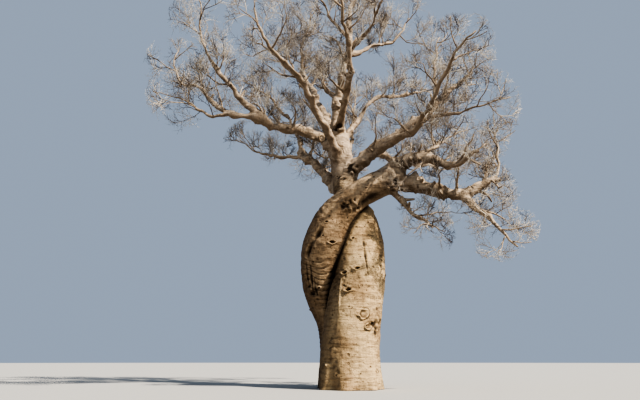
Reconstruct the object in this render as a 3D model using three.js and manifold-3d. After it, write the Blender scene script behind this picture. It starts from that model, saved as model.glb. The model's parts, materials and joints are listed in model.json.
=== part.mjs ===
// A bare baobab with two stems from one root that wind round each other, in millimetres.
// +X is east, +Y is north, +Z is up, and the origin lies in the level cut at the ground.
// The two stems are swollen, they cross once below the crown, and each carries its own boughs.
// Every bough ends in a mass of leafless twigs that keeps to a ball of space of its own.

import * as THREE from "three";
import Module from "manifold-3d";

const wasm = await Module();
wasm.setup();

// Clearances
const GAP = 0.4;
const SLIVER = 0.05;
const TWIG_CLEARANCE = 60;
const SPACE_MARGIN = 40;

// Stems: knots are [x, y, z, radius] from the ground cut to the fork
const UPRIGHT_STEM = [
  [-30, -820, 0, 1540],
  [-30, -820, 1400, 1450],
  [60, -800, 2800, 1410],
  [340, -700, 4300, 1380],
  [580, -430, 5800, 1300],
  [640, -50, 7300, 1240],
  [500, 330, 8700, 1020],
  [220, 520, 9500, 880],
  [0, 640, 10600, 740],
  [-280, 800, 12600, 620],
  [-460, 890, 13900, 560],
  [-510, 900, 14400, 400],
];
const WINDING_STEM = [
  [-220, 1000, 0, 1430],
  [-220, 1000, 1500, 1300],
  [-490, 1000, 3400, 1220],
  [-980, 860, 4500, 1200],
  [-1280, 540, 5600, 1230],
  [-1310, 150, 6500, 1240],
  [-1170, -300, 7400, 1170],
  [-850, -640, 8300, 1020],
  [-250, -840, 9100, 820],
  [400, -870, 9700, 720],
  [1400, -800, 10250, 740],
  [2250, -720, 10670, 700],
  [2650, -690, 10830, 470],
];
const STEM_SIDES = 20;
const STEM_RING_SPACING = 620;
const ROOT_LOBES = 7;
const ROOT_LOBE_DEPTH = 0.07;
const ROOT_FLARE_HEIGHT = 900;

// Boughs: each leaves a limb at a share of its length, and passes its bends to its tip.
// thick is [radius at the root, radius at the tip], and mass is [x, y, z, reach] of its twigs.
const BOUGHS = [
  {
    name: "top_bough",
    from: "upright_stem",
    at: 0.97,
    bends: [[-420, 800, 16300], [0, 400, 18000], [300, 50, 19500], [300, -100, 21200]],
    thick: [320, 130],
    mass: [600, -200, 22700, 2100],
  },
  {
    name: "northwest_bough",
    from: "upright_stem",
    at: 0.93,
    bends: [[-900, 1900, 14900], [-1700, 2600, 16700], [-2600, 3200, 18700], [-3900, 3700, 20400]],
    thick: [370, 120],
    mass: [-4800, 4200, 21600, 2500],
  },
  {
    name: "arch_bough",
    from: "upright_stem",
    at: 0.91,
    bends: [[500, 1700, 14900], [1400, 2500, 16700], [2900, 3500, 17800], [4500, 4400, 18500]],
    thick: [190, 90],
    mass: [5200, 4800, 19300, 2400],
  },
  {
    name: "south_bough",
    from: "upright_stem",
    at: 0.95,
    bends: [[-200, -900, 15100], [0, -2900, 16500], [-300, -4800, 17800]],
    thick: [230, 100],
    mass: [-500, -5600, 18900, 2200],
  },
  {
    name: "north_top_bough",
    from: "upright_stem",
    at: 0.96,
    bends: [[-250, 2500, 16600], [-1100, 4300, 19000], [-1500, 5100, 20300]],
    thick: [240, 100],
    mass: [-1900, 5900, 21300, 2300],
  },
  {
    name: "west_bough",
    from: "upright_stem",
    at: 0.86,
    bends: [[-1200, 950, 13650], [-2500, 400, 14100], [-4200, -500, 13950], [-5400, -1050, 14400]],
    thick: [320, 190],
  },
  {
    name: "east_high_bough",
    from: "upright_stem",
    at: 0.79,
    bends: [
      [900, 0, 12100],
      [1900, -600, 12700],
      [3000, -1000, 13300],
      [4500, -1400, 14300],
      [5600, -1600, 15500],
    ],
    thick: [400, 140],
    mass: [6500, -1700, 16500, 2100],
  },
  {
    name: "low_west_bough",
    from: "upright_stem",
    at: 0.7,
    bends: [[-700, 1900, 11300], [-1600, 2900, 12700], [-2800, 3900, 14100]],
    thick: [400, 200],
  },
  {
    name: "north_bough",
    from: "upright_stem",
    at: 0.77,
    bends: [[150, 2500, 12500], [-200, 4600, 13700], [-700, 6300, 14900]],
    thick: [330, 140],
    mass: [-1400, 7500, 15700, 2600],
  },
  {
    name: "northeast_bough",
    from: "upright_stem",
    at: 0.81,
    bends: [[1500, 2100, 13100], [3500, 3800, 13500], [5600, 5200, 13900]],
    thick: [270, 110],
    mass: [6700, 6000, 14600, 2600],
  },
  {
    name: "south_west_bough",
    from: "upright_stem",
    at: 0.83,
    bends: [[-1000, -800, 13300], [-2200, -2900, 14600], [-3400, -4600, 15600]],
    thick: [250, 110],
    mass: [-4000, -5400, 16500, 2500],
  },
  {
    name: "east_middle_bough",
    from: "winding_stem",
    at: 0.95,
    bends: [[2900, -1150, 11500], [3900, -1700, 11650], [4600, -2400, 11000], [5000, -2900, 10500]],
    thick: [400, 170],
    mass: [5600, -3700, 10600, 1700],
  },
  {
    name: "east_low_bough",
    from: "winding_stem",
    at: 0.97,
    bends: [[3300, -1000, 10350], [4300, -1400, 9950], [5200, -1750, 9650], [6100, -2000, 9500]],
    thick: [430, 200],
    mass: [7000, -2700, 9600, 1500],
  },
  {
    name: "east_small_bough",
    from: "winding_stem",
    at: 0.94,
    bends: [[2950, -850, 9300], [3300, -1250, 8600], [3900, -1700, 8100]],
    thick: [190, 80],
    mass: [3900, -1900, 7700, 1500],
  },
  {
    name: "south_east_bough",
    from: "east_high_bough",
    at: 0.36,
    bends: [[3200, -2400, 12900], [4000, -4100, 13600], [4450, -5300, 14300]],
    thick: [210, 90],
    mass: [4700, -5900, 15000, 2100],
  },
  {
    name: "west_reach_bough",
    from: "west_bough",
    at: 0.96,
    bends: [[-6400, -1250, 14450], [-7400, -1500, 14350]],
    thick: [150, 90],
    mass: [-8900, -1900, 14900, 1900],
  },
  {
    name: "west_tip_bough",
    from: "west_reach_bough",
    at: 0.6,
    bends: [[-7700, -850, 15500], [-8450, -500, 16350], [-9400, -200, 16700]],
    thick: [120, 65],
    mass: [-10100, 100, 17700, 2100],
  },
  {
    name: "west_high_bough",
    from: "west_bough",
    at: 0.93,
    bends: [[-6000, -1350, 15100], [-6600, -1750, 16000], [-7500, -2300, 17100]],
    thick: [160, 80],
    mass: [-7400, -2700, 18700, 2500],
  },
  {
    name: "low_west_high_bough",
    from: "low_west_bough",
    at: 0.95,
    bends: [[-3400, 5000, 16600], [-4600, 6000, 18700]],
    thick: [180, 80],
    mass: [-5700, 6700, 19700, 2800],
  },
  {
    name: "low_west_side_bough",
    from: "low_west_bough",
    at: 0.9,
    bends: [[-3900, 4500, 14000], [-5300, 5300, 14700]],
    thick: [130, 70],
    mass: [-6200, 5900, 15200, 2100],
  },
  {
    name: "northwest_upright_bough",
    from: "northwest_bough",
    at: 0.64,
    bends: [[-2500, 3250, 20200], [-2600, 3050, 21500]],
    thick: [150, 80],
    mass: [-2500, 3000, 22600, 2000],
  },
  {
    name: "top_west_bough",
    from: "top_bough",
    at: 0.83,
    bends: [[-600, -500, 20500], [-1250, -900, 21600]],
    thick: [120, 70],
    mass: [-1900, -1400, 22600, 2000],
  },
  {
    name: "top_east_bough",
    from: "top_bough",
    at: 0.7,
    bends: [[1600, 800, 20000], [3100, 1600, 20800]],
    thick: [140, 80],
    mass: [3900, 1900, 21700, 2200],
  },
  {
    name: "top_south_bough",
    from: "top_bough",
    at: 0.76,
    bends: [[1100, -1300, 19500], [1800, -2900, 19900]],
    thick: [140, 75],
    mass: [2100, -3600, 20700, 2300],
  },
  {
    name: "east_high_upright_bough",
    from: "east_high_bough",
    at: 0.8,
    bends: [[5000, -1000, 16300], [5300, -700, 18000]],
    thick: [120, 70],
    mass: [5600, -600, 19000, 2000],
  },
  {
    name: "east_high_side_bough",
    from: "east_high_bough",
    at: 0.68,
    bends: [[5200, -2050, 13800], [6200, -2800, 13700]],
    thick: [110, 60],
    mass: [6900, -3300, 13800, 1900],
  },
  {
    name: "east_middle_upright_bough",
    from: "east_middle_bough",
    at: 0.45,
    bends: [[4500, -1250, 12300], [5100, -500, 12900]],
    thick: [130, 70],
    mass: [5900, 300, 13500, 2000],
  },
  {
    name: "east_low_upright_bough",
    from: "east_low_bough",
    at: 0.93,
    bends: [[7000, -1600, 10200], [7900, -1200, 10900], [7900, -1000, 11800]],
    thick: [180, 90],
    mass: [8000, -900, 12600, 1800],
  },
  {
    name: "east_hanging_bough",
    from: "east_low_bough",
    at: 0.88,
    bends: [[6300, -2500, 8700], [6600, -3100, 8000], [6800, -3500, 7400]],
    thick: [180, 90],
    mass: [7000, -3900, 6900, 1400],
  },
  {
    name: "north_high_bough",
    from: "north_bough",
    at: 0.55,
    bends: [[500, 5200, 15900], [800, 6200, 17900]],
    thick: [160, 80],
    mass: [1100, 7000, 19000, 2500],
  },
];
const BOUGH_RING_SPACING = 750;
const STOUT_BOUGH = 250;
const STOUT_SIDES = 8;
const SLIM_SIDES = 6;
const FEWEST_STEPS = 4;
const COLLAR_SWELL = 0.45;
const COLLAR_REACH = 2.6;
const CURVE_SAMPLES = 400;

// Twigs: one row for each order of branching, from a mass's own stem outwards.
// length is a share of the mass's reach, spread is in degrees, and thick is a share of the parent's.
const TWIG_ORDERS = [
  { pieces: 3, children: 4, length: 1.15, spread: 58, thick: 0.95 },
  { pieces: 2, children: 3, length: 0.85, spread: 48, thick: 0.6 },
  { pieces: 2, children: 0, length: 0.6, spread: 44, thick: 0.55 },
];
const TWIG_SIDES = 3;
const TWIG_WOBBLE = 0.26;
const TWIG_LIFT = 0.1;
const TWIG_TAPER = 0.45;
const FIRST_CHILD_AT = 0.28;
const LEADER_SPREAD = 0.4;
const SPREAD_RANGE = [0.75, 1.25];
const LENGTH_RANGE = [0.8, 1.2];
const LENGTH_TRIES = [1, 0.72, 0.5];
const GOLDEN_ANGLE = THREE.MathUtils.degToRad(137.5);
const NEARLY_UPRIGHT = 0.9;
const ROUND_DRAW = 20;
const SPREAD_DRAW = 21;
const LENGTH_DRAW = 22;

// Finishes
const WINDING_BARK = new THREE.MeshStandardMaterial({ color: 0xb08a64, roughness: 0.85, metalness: 0 });
const UPRIGHT_BARK = new THREE.MeshStandardMaterial({ color: 0xb6a084, roughness: 0.85, metalness: 0 });
const BOUGH_BARK = new THREE.MeshStandardMaterial({ color: 0xa69684, roughness: 0.88, metalness: 0 });
const TWIG_BARK = new THREE.MeshStandardMaterial({ color: 0xb4aca2, roughness: 0.9, metalness: 0 });

// A repeatable number from 0 to 1 for one draw of one twig.
function chance(key, draw) {
  let mixed = Math.imul(key ^ Math.imul(draw + 1, 0x9e3779b1), 0x85ebca6b);
  mixed ^= mixed >>> 13;
  mixed = Math.imul(mixed, 0xc2b2ae35);
  mixed ^= mixed >>> 16;
  return (mixed >>> 0) / 4294967296;
}

const between = ([low, high], share) => low + (high - low) * share;

// The key of one child, from its parent's: each twig draws numbers of its own.
function childKey(key, index) {
  return Math.imul(key ^ Math.imul(index + 1, 0x27d4eb2f), 0x165667b1) >>> 0;
}

const vector = (values) => new THREE.Vector3(values[0], values[1], values[2]);

// A smooth limb through its knots: even steps of centre, direction and radius.
function limbAlong(points, radiusAt, spacing) {
  const curve = new THREE.CatmullRomCurve3(points, false, "centripetal");
  curve.arcLengthDivisions = CURVE_SAMPLES;
  const length = curve.getLength();
  const steps = Math.max(FEWEST_STEPS, Math.round(length / spacing));
  const rings = [];
  for (let step = 0; step <= steps; step += 1) {
    const share = step / steps;
    rings.push({
      centre: curve.getPointAt(share),
      along: curve.getTangentAt(share),
      radius: radiusAt(share, length),
    });
  }
  return { curve, rings };
}

// The corners of a tube, ring by ring, turned as little as can be from one ring to the next.
function tubeCorners(rings, sides, extra, outline) {
  const points = [];
  const side = new THREE.Vector3(1, 0, 0);
  if (Math.abs(rings[0].along.x) > NEARLY_UPRIGHT) side.set(0, 1, 0);
  rings.forEach((ring, order) => {
    side.addScaledVector(ring.along, -side.dot(ring.along)).normalize();
    const across = new THREE.Vector3().crossVectors(ring.along, side);
    const centre = ring.centre.clone();
    if (order === 0) centre.addScaledVector(ring.along, -extra);
    if (order === rings.length - 1) centre.addScaledVector(ring.along, extra);
    for (let corner = 0; corner < sides; corner += 1) {
      const angle = (2 * Math.PI * corner) / sides;
      const radius = ring.radius * outline(angle, ring) + extra;
      const point = centre.clone().addScaledVector(side, radius * Math.cos(angle));
      point.addScaledVector(across, radius * Math.sin(angle));
      points.push(point.x, point.y, point.z);
    }
  });
  return points;
}

// One closed tube over a limb's rings; extra swells it and pushes both its ends out.
// A pointed tube runs on from its last ring to the point at its tip.
function tube(rings, sides, { extra = 0, outline = () => 1, tip = null } = {}) {
  const points = tubeCorners(rings, sides, extra, outline);
  const triangles = [];
  const last = (rings.length - 1) * sides;
  for (let low = 0; low < last; low += sides) {
    for (let corner = 0; corner < sides; corner += 1) {
      const next = (corner + 1) % sides;
      const high = low + sides;
      triangles.push(low + corner, low + next, high + next);
      triangles.push(low + corner, high + next, high + corner);
    }
  }
  for (let corner = 1; corner < sides - 1; corner += 1) {
    triangles.push(0, corner + 1, corner);
    if (!tip) triangles.push(last, last + corner, last + corner + 1);
  }
  if (tip) {
    points.push(tip.x, tip.y, tip.z);
    for (let corner = 0; corner < sides; corner += 1) {
      triangles.push(last + corner, last + ((corner + 1) % sides), last + sides);
    }
  }
  return solidFrom(points, triangles);
}

function solidFrom(points, triangles) {
  return new wasm.Manifold(
    new wasm.Mesh({
      numProp: 3,
      vertProperties: new Float32Array(points),
      triVerts: new Uint32Array(triangles),
    }),
  );
}

// Drops loose scraps, and slivers too fine to matter.
function largestBody(solid) {
  const bodies = solid.simplify(SLIVER).decompose();
  return bodies.reduce((best, body) => (body.volume() > best.volume() ? body : best));
}

function meshFrom(solid, name, material) {
  const made = solid.getMesh();
  const geometry = new THREE.BufferGeometry();
  geometry.setAttribute("position", new THREE.BufferAttribute(made.vertProperties, 3));
  geometry.setIndex(new THREE.BufferAttribute(made.triVerts, 1));
  geometry.computeVertexNormals();
  const mesh = new THREE.Mesh(geometry, material);
  mesh.name = name;
  return mesh;
}

// The root flare: shallow lobes that fade out above the ground.
function rootOutline(angle, ring) {
  const fade = Math.exp(-ring.centre.z / ROOT_FLARE_HEIGHT);
  return 1 + ROOT_LOBE_DEPTH * fade * Math.cos(ROOT_LOBES * angle);
}

// A stem's radius runs evenly from each knot to the next, and its foot is cut level.
function growStem(name, knots) {
  const points = knots.map(vector);
  const reached = [0];
  for (let order = 1; order < points.length; order += 1) {
    reached.push(reached[order - 1] + points[order].distanceTo(points[order - 1]));
  }
  const whole = reached[reached.length - 1];
  const radiusAt = (share) => {
    const gone = share * whole;
    const order = Math.max(1, reached.findIndex((length) => length >= gone));
    const part = (gone - reached[order - 1]) / (reached[order] - reached[order - 1]);
    return between([knots[order - 1][3], knots[order][3]], part);
  };
  const { curve, rings } = limbAlong(points, radiusAt, STEM_RING_SPACING);
  rings[0].along.set(0, 0, 1);
  return { name, curve, rings, sides: STEM_SIDES, outline: rootOutline };
}

// A bough tapers evenly from a swollen collar where it leaves its parent.
function growBough(row, parent) {
  const points = [parent.curve.getPointAt(row.at), ...row.bends.map(vector)];
  const root = row.thick[0];
  const radiusAt = (share, length) => {
    const collar = COLLAR_SWELL * Math.exp((-share * length) / (COLLAR_REACH * root));
    return between(row.thick, share) * (1 + collar);
  };
  const { curve, rings } = limbAlong(points, radiusAt, BOUGH_RING_SPACING);
  const sides = root > STOUT_BOUGH ? STOUT_SIDES : SLIM_SIDES;
  return { name: row.name, curve, rings, sides, outline: () => 1 };
}

// Cuts from a solid what the given limbs hold, with a hair of room.
function carve(solid, limbs) {
  const wood = limbs.map(({ rings, sides, outline }) => tube(rings, sides, { extra: GAP, outline }));
  return largestBody(wood.reduce((left, other) => left.subtract(other), solid));
}

// The distance from a point to a limb's bark, less than zero inside it.
function depthTo(point, limb) {
  let nearest = Infinity;
  for (let order = 0; order < limb.rings.length - 1; order += 1) {
    const [low, high] = [limb.rings[order], limb.rings[order + 1]];
    const run = high.centre.clone().sub(low.centre);
    const share = point.clone().sub(low.centre).dot(run) / run.lengthSq();
    const held = Math.min(1, Math.max(0, share));
    const foot = low.centre.clone().addScaledVector(run, held);
    const radius = low.radius + (high.radius - low.radius) * held;
    nearest = Math.min(nearest, point.distanceTo(foot) - radius);
  }
  return nearest;
}

// A mass owns the part of its ball that lies nearer to it than to any other mass.
function insideSpace(point, space, spaces, margin) {
  const own = point.distanceToSquared(space.centre) - space.reach ** 2;
  if (point.distanceTo(space.centre) > space.reach - margin) return false;
  return spaces.every((other) => {
    if (other === space) return true;
    const theirs = point.distanceToSquared(other.centre) - other.reach ** 2;
    return (theirs - own) / (2 * space.centre.distanceTo(other.centre)) > margin;
  });
}

// A twig's bent path: each piece turns a little from the last, and lifts a little.
function twigPath(twig, order) {
  const path = [twig.start];
  const headings = [];
  let heading = twig.heading.clone();
  for (let piece = 0; piece < order.pieces; piece += 1) {
    const turn = new THREE.Vector3(
      2 * chance(twig.key, 3 * piece) - 1,
      2 * chance(twig.key, 3 * piece + 1) - 1,
      2 * chance(twig.key, 3 * piece + 2) - 1,
    );
    heading = heading.clone().addScaledVector(turn, TWIG_WOBBLE);
    heading.z += TWIG_LIFT;
    heading.normalize();
    headings.push(heading);
    path.push(path[piece].clone().addScaledVector(heading, twig.length / order.pieces));
  }
  return { path, headings };
}

// The children of a twig: they leave it in a spiral, and the last goes on from its end.
function twigChildren(twig, depth, { path, headings }, reach) {
  const order = TWIG_ORDERS[depth];
  const next = TWIG_ORDERS[depth + 1];
  const children = [];
  for (let index = 0; index < order.children; index += 1) {
    const key = childKey(twig.key, index);
    const last = index === order.children - 1;
    const share = between([FIRST_CHILD_AT, 1], index / (order.children - 1));
    const place = share * order.pieces;
    const piece = Math.min(Math.floor(place), order.pieces - 1);
    const along = headings[piece];
    const start = path[piece].clone().lerp(path[piece + 1], place - piece);
    const upright = Math.abs(along.z) > NEARLY_UPRIGHT;
    const side = new THREE.Vector3(upright ? 1 : 0, 0, upright ? 0 : 1);
    side.cross(along).normalize();
    const across = new THREE.Vector3().crossVectors(along, side);
    const round = GOLDEN_ANGLE * index + 2 * Math.PI * chance(twig.key, ROUND_DRAW);
    const opening = last ? LEADER_SPREAD : between(SPREAD_RANGE, chance(key, SPREAD_DRAW));
    const wide = THREE.MathUtils.degToRad(order.spread) * opening;
    const heading = along.clone().multiplyScalar(Math.cos(wide));
    heading.addScaledVector(side, Math.sin(wide) * Math.cos(round));
    heading.addScaledVector(across, Math.sin(wide) * Math.sin(round));
    children.push({
      key,
      start,
      heading,
      length: reach * next.length * between(LENGTH_RANGE, chance(key, LENGTH_DRAW)),
      radius: twig.radius * between([1, TWIG_TAPER], share) * next.thick,
    });
  }
  return children;
}

// Grows a twig and its children, and gives each one's path; a twig with no room is skipped.
function growTwig(twig, depth, space, fits) {
  const order = TWIG_ORDERS[depth];
  let grown = null;
  for (const share of LENGTH_TRIES) {
    const { path, headings } = twigPath({ ...twig, length: twig.length * share }, order);
    if (depth === 0 || fits(path, twig.radius)) {
      grown = { path, headings, radius: twig.radius, outer: order.children === 0 };
      break;
    }
  }
  if (!grown) return [];
  const children = twigChildren(twig, depth, grown, space.reach);
  return [grown, ...children.flatMap((child) => growTwig(child, depth + 1, space, fits))];
}

function twigSolid({ path, headings, radius, outer }) {
  const end = outer ? 0 : radius * TWIG_TAPER;
  const rings = path.map((centre, order) => ({
    centre,
    along: headings[Math.min(order, headings.length - 1)],
    radius: between([radius, end], order / (path.length - 1)),
  }));
  if (!outer) return tube(rings, TWIG_SIDES);
  return tube(rings.slice(0, -1), TWIG_SIDES, { tip: path[path.length - 1] });
}

// A path fits where it stays in its mass's space and clear of every limb.
function pathFits(path, radius, space, spaces, limbs) {
  return path.slice(1).every((point, step) => {
    if (!insideSpace(point, space, spaces, SPACE_MARGIN + radius)) return false;
    const middle = point.clone().lerp(path[step], 0.5);
    return [point, middle].every((place) =>
      limbs.every((limb) => depthTo(place, limb) > TWIG_CLEARANCE + radius),
    );
  });
}

// A mass grows from one stem that starts a hair clear of its bough's tip.
function growMass(order, limb, limbs, spaces) {
  const space = spaces[order];
  const tip = limb.rings[limb.rings.length - 1];
  const start = tip.centre.clone().addScaledVector(tip.along, GAP);
  const inward = space.centre.clone().sub(start).normalize();
  const stem = {
    key: childKey(order + 1, 0),
    start,
    heading: inward.add(tip.along).normalize(),
    length: space.reach * TWIG_ORDERS[0].length,
    radius: tip.radius * TWIG_ORDERS[0].thick,
  };
  const fits = (path, radius) => pathFits(path, radius, space, spaces, limbs);
  const grown = growTwig(stem, 0, space, fits);
  grown[0].headings[0] = tip.along;
  const whole = grown.map(twigSolid).reduce((joined, twig) => joined.add(twig));
  return carve(whole, limbs.filter((other) => other !== limb));
}

function growTree() {
  const limbs = [growStem("upright_stem", UPRIGHT_STEM), growStem("winding_stem", WINDING_STEM)];
  for (const row of BOUGHS) {
    limbs.push(growBough(row, limbs.find((limb) => limb.name === row.from)));
  }
  const tree = new THREE.Group();
  limbs.forEach((limb, order) => {
    const material = [UPRIGHT_BARK, WINDING_BARK][order] ?? BOUGH_BARK;
    const whole = tube(limb.rings, limb.sides, { outline: limb.outline });
    tree.add(meshFrom(carve(whole, limbs.slice(0, order)), limb.name, material));
  });
  const leafless = BOUGHS.filter((row) => row.mass);
  const spaces = leafless.map((row) => ({ centre: vector(row.mass), reach: row.mass[3] }));
  leafless.forEach((row, order) => {
    const limb = limbs.find((other) => other.name === row.name);
    const solid = growMass(order, limb, limbs, spaces);
    tree.add(meshFrom(solid, row.name.replace("_bough", "_twigs"), TWIG_BARK));
  });
  return tree;
}

export default growTree();
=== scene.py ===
# %% [markdown]
# # A bare baobab with two twined stems
#
# A baobab stores water in its stems, so they swell like bottles. This one has two stems from one root. They
# wind round each other, cross once below the crown, and carry a wide crown that has dropped its leaves.
#
# The frame that is loaded here holds the tree as plain solids at their real size: stems, boughs and masses of
# twigs. This notebook puts the finished surface round them, in metres, with +Z up and +Y away from the
# camera.

# %% The tools and the frame
import json
import math
from collections import namedtuple

import bmesh
import bpy
import numpy as np
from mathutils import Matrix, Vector, noise
from mathutils.bvhtree import BVHTree

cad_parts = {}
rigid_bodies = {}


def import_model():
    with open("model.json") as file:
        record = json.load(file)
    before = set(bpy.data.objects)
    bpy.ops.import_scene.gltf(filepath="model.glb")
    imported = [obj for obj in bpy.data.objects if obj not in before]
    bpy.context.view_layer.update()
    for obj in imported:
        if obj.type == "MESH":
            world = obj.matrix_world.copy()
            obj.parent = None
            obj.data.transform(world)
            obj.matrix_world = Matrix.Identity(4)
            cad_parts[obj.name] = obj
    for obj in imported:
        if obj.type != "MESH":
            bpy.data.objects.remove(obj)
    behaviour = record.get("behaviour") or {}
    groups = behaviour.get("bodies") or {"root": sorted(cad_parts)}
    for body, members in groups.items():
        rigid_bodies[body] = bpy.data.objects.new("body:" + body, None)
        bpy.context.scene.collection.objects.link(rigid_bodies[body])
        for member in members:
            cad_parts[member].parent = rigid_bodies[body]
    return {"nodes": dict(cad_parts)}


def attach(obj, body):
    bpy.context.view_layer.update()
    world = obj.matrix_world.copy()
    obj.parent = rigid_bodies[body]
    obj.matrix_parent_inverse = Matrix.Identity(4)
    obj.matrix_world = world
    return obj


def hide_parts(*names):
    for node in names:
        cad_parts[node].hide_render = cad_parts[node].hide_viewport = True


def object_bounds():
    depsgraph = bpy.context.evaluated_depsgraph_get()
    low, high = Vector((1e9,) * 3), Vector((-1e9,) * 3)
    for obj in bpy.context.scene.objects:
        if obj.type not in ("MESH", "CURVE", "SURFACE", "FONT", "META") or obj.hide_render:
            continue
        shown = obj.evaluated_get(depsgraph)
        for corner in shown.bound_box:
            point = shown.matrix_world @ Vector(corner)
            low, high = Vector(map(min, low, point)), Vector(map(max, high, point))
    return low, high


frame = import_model()
cad_low, cad_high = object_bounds()
print(f"{len(frame['nodes'])} solids, from {tuple(cad_low)} to {tuple(cad_high)}")

# %% [markdown]
# ## Where the camera stands
#
# The camera comes first, because some marks on the bark are found by looking through it. The horizon lies at
# row 361 of the picture's 400, so the camera looks up. Its lens is a wide one, of about 30 mm on a 36 mm
# sensor. A camera could also be turned by hand in the viewport, but three measures and one angle say it more
# exactly.

# %% The camera
PHOTO_WIDTH, PHOTO_HEIGHT = 640, 400
HORIZON_ROW = 361
FOCAL_PIXELS = 533
SENSOR_MM = 36
EYE = Vector((-1.5, -28.0, 1.3))
FARTHEST_SEEN = 1000


def add_object(name, data):
    """A new object in the scene."""
    made = bpy.data.objects.new(name, data)
    bpy.context.scene.collection.objects.link(made)
    return made


look_up = math.atan((HORIZON_ROW - PHOTO_HEIGHT / 2) / FOCAL_PIXELS)
lens = bpy.data.cameras.new("photo_lens")
lens.lens = SENSOR_MM * FOCAL_PIXELS / PHOTO_WIDTH
lens.sensor_width = SENSOR_MM
lens.clip_end = FARTHEST_SEEN
camera = add_object("photo_camera", lens)
camera.location = EYE
camera.rotation_euler = (math.pi / 2 + look_up, 0, 0)
bpy.context.scene.camera = camera
print(f"lens {lens.lens:.1f} mm, looking up {math.degrees(look_up):.1f} degrees")

# %% [markdown]
# ## The limbs' measures
#
# These are the frame's own measures. A stem has knots along it, with the radius at each. A bough has the limb
# that it leaves, how far along it does so, its radius at the root and the tip, the ball of space that the
# twigs at its tip fill, as a centre and a reach, and the bends on its way. Drawing curves by hand would work
# too, but then skin and frame could drift apart.

# %% Stems: x, y, z and radius from the ground to the fork
UPRIGHT_STEM = [
    (-0.03, -0.82, 0, 1.54), (-0.03, -0.82, 1.4, 1.45), (0.06, -0.8, 2.8, 1.41), (0.34, -0.7, 4.3, 1.38),
    (0.58, -0.43, 5.8, 1.3), (0.64, -0.05, 7.3, 1.24), (0.5, 0.33, 8.7, 1.02), (0.22, 0.52, 9.5, 0.88),
    (0, 0.64, 10.6, 0.74), (-0.28, 0.8, 12.6, 0.62), (-0.46, 0.89, 13.9, 0.56), (-0.51, 0.9, 14.4, 0.4),
]
WINDING_STEM = [
    (-0.22, 1, 0, 1.43), (-0.22, 1, 1.5, 1.3), (-0.49, 1, 3.4, 1.22), (-0.98, 0.86, 4.5, 1.2),
    (-1.28, 0.54, 5.6, 1.23), (-1.31, 0.15, 6.5, 1.24), (-1.17, -0.3, 7.4, 1.17), (-0.85, -0.64, 8.3, 1.02),
    (-0.25, -0.84, 9.1, 0.82), (0.4, -0.87, 9.7, 0.72), (1.4, -0.8, 10.25, 0.74), (2.25, -0.72, 10.67, 0.7),
    (2.65, -0.69, 10.83, 0.47),
]

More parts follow.
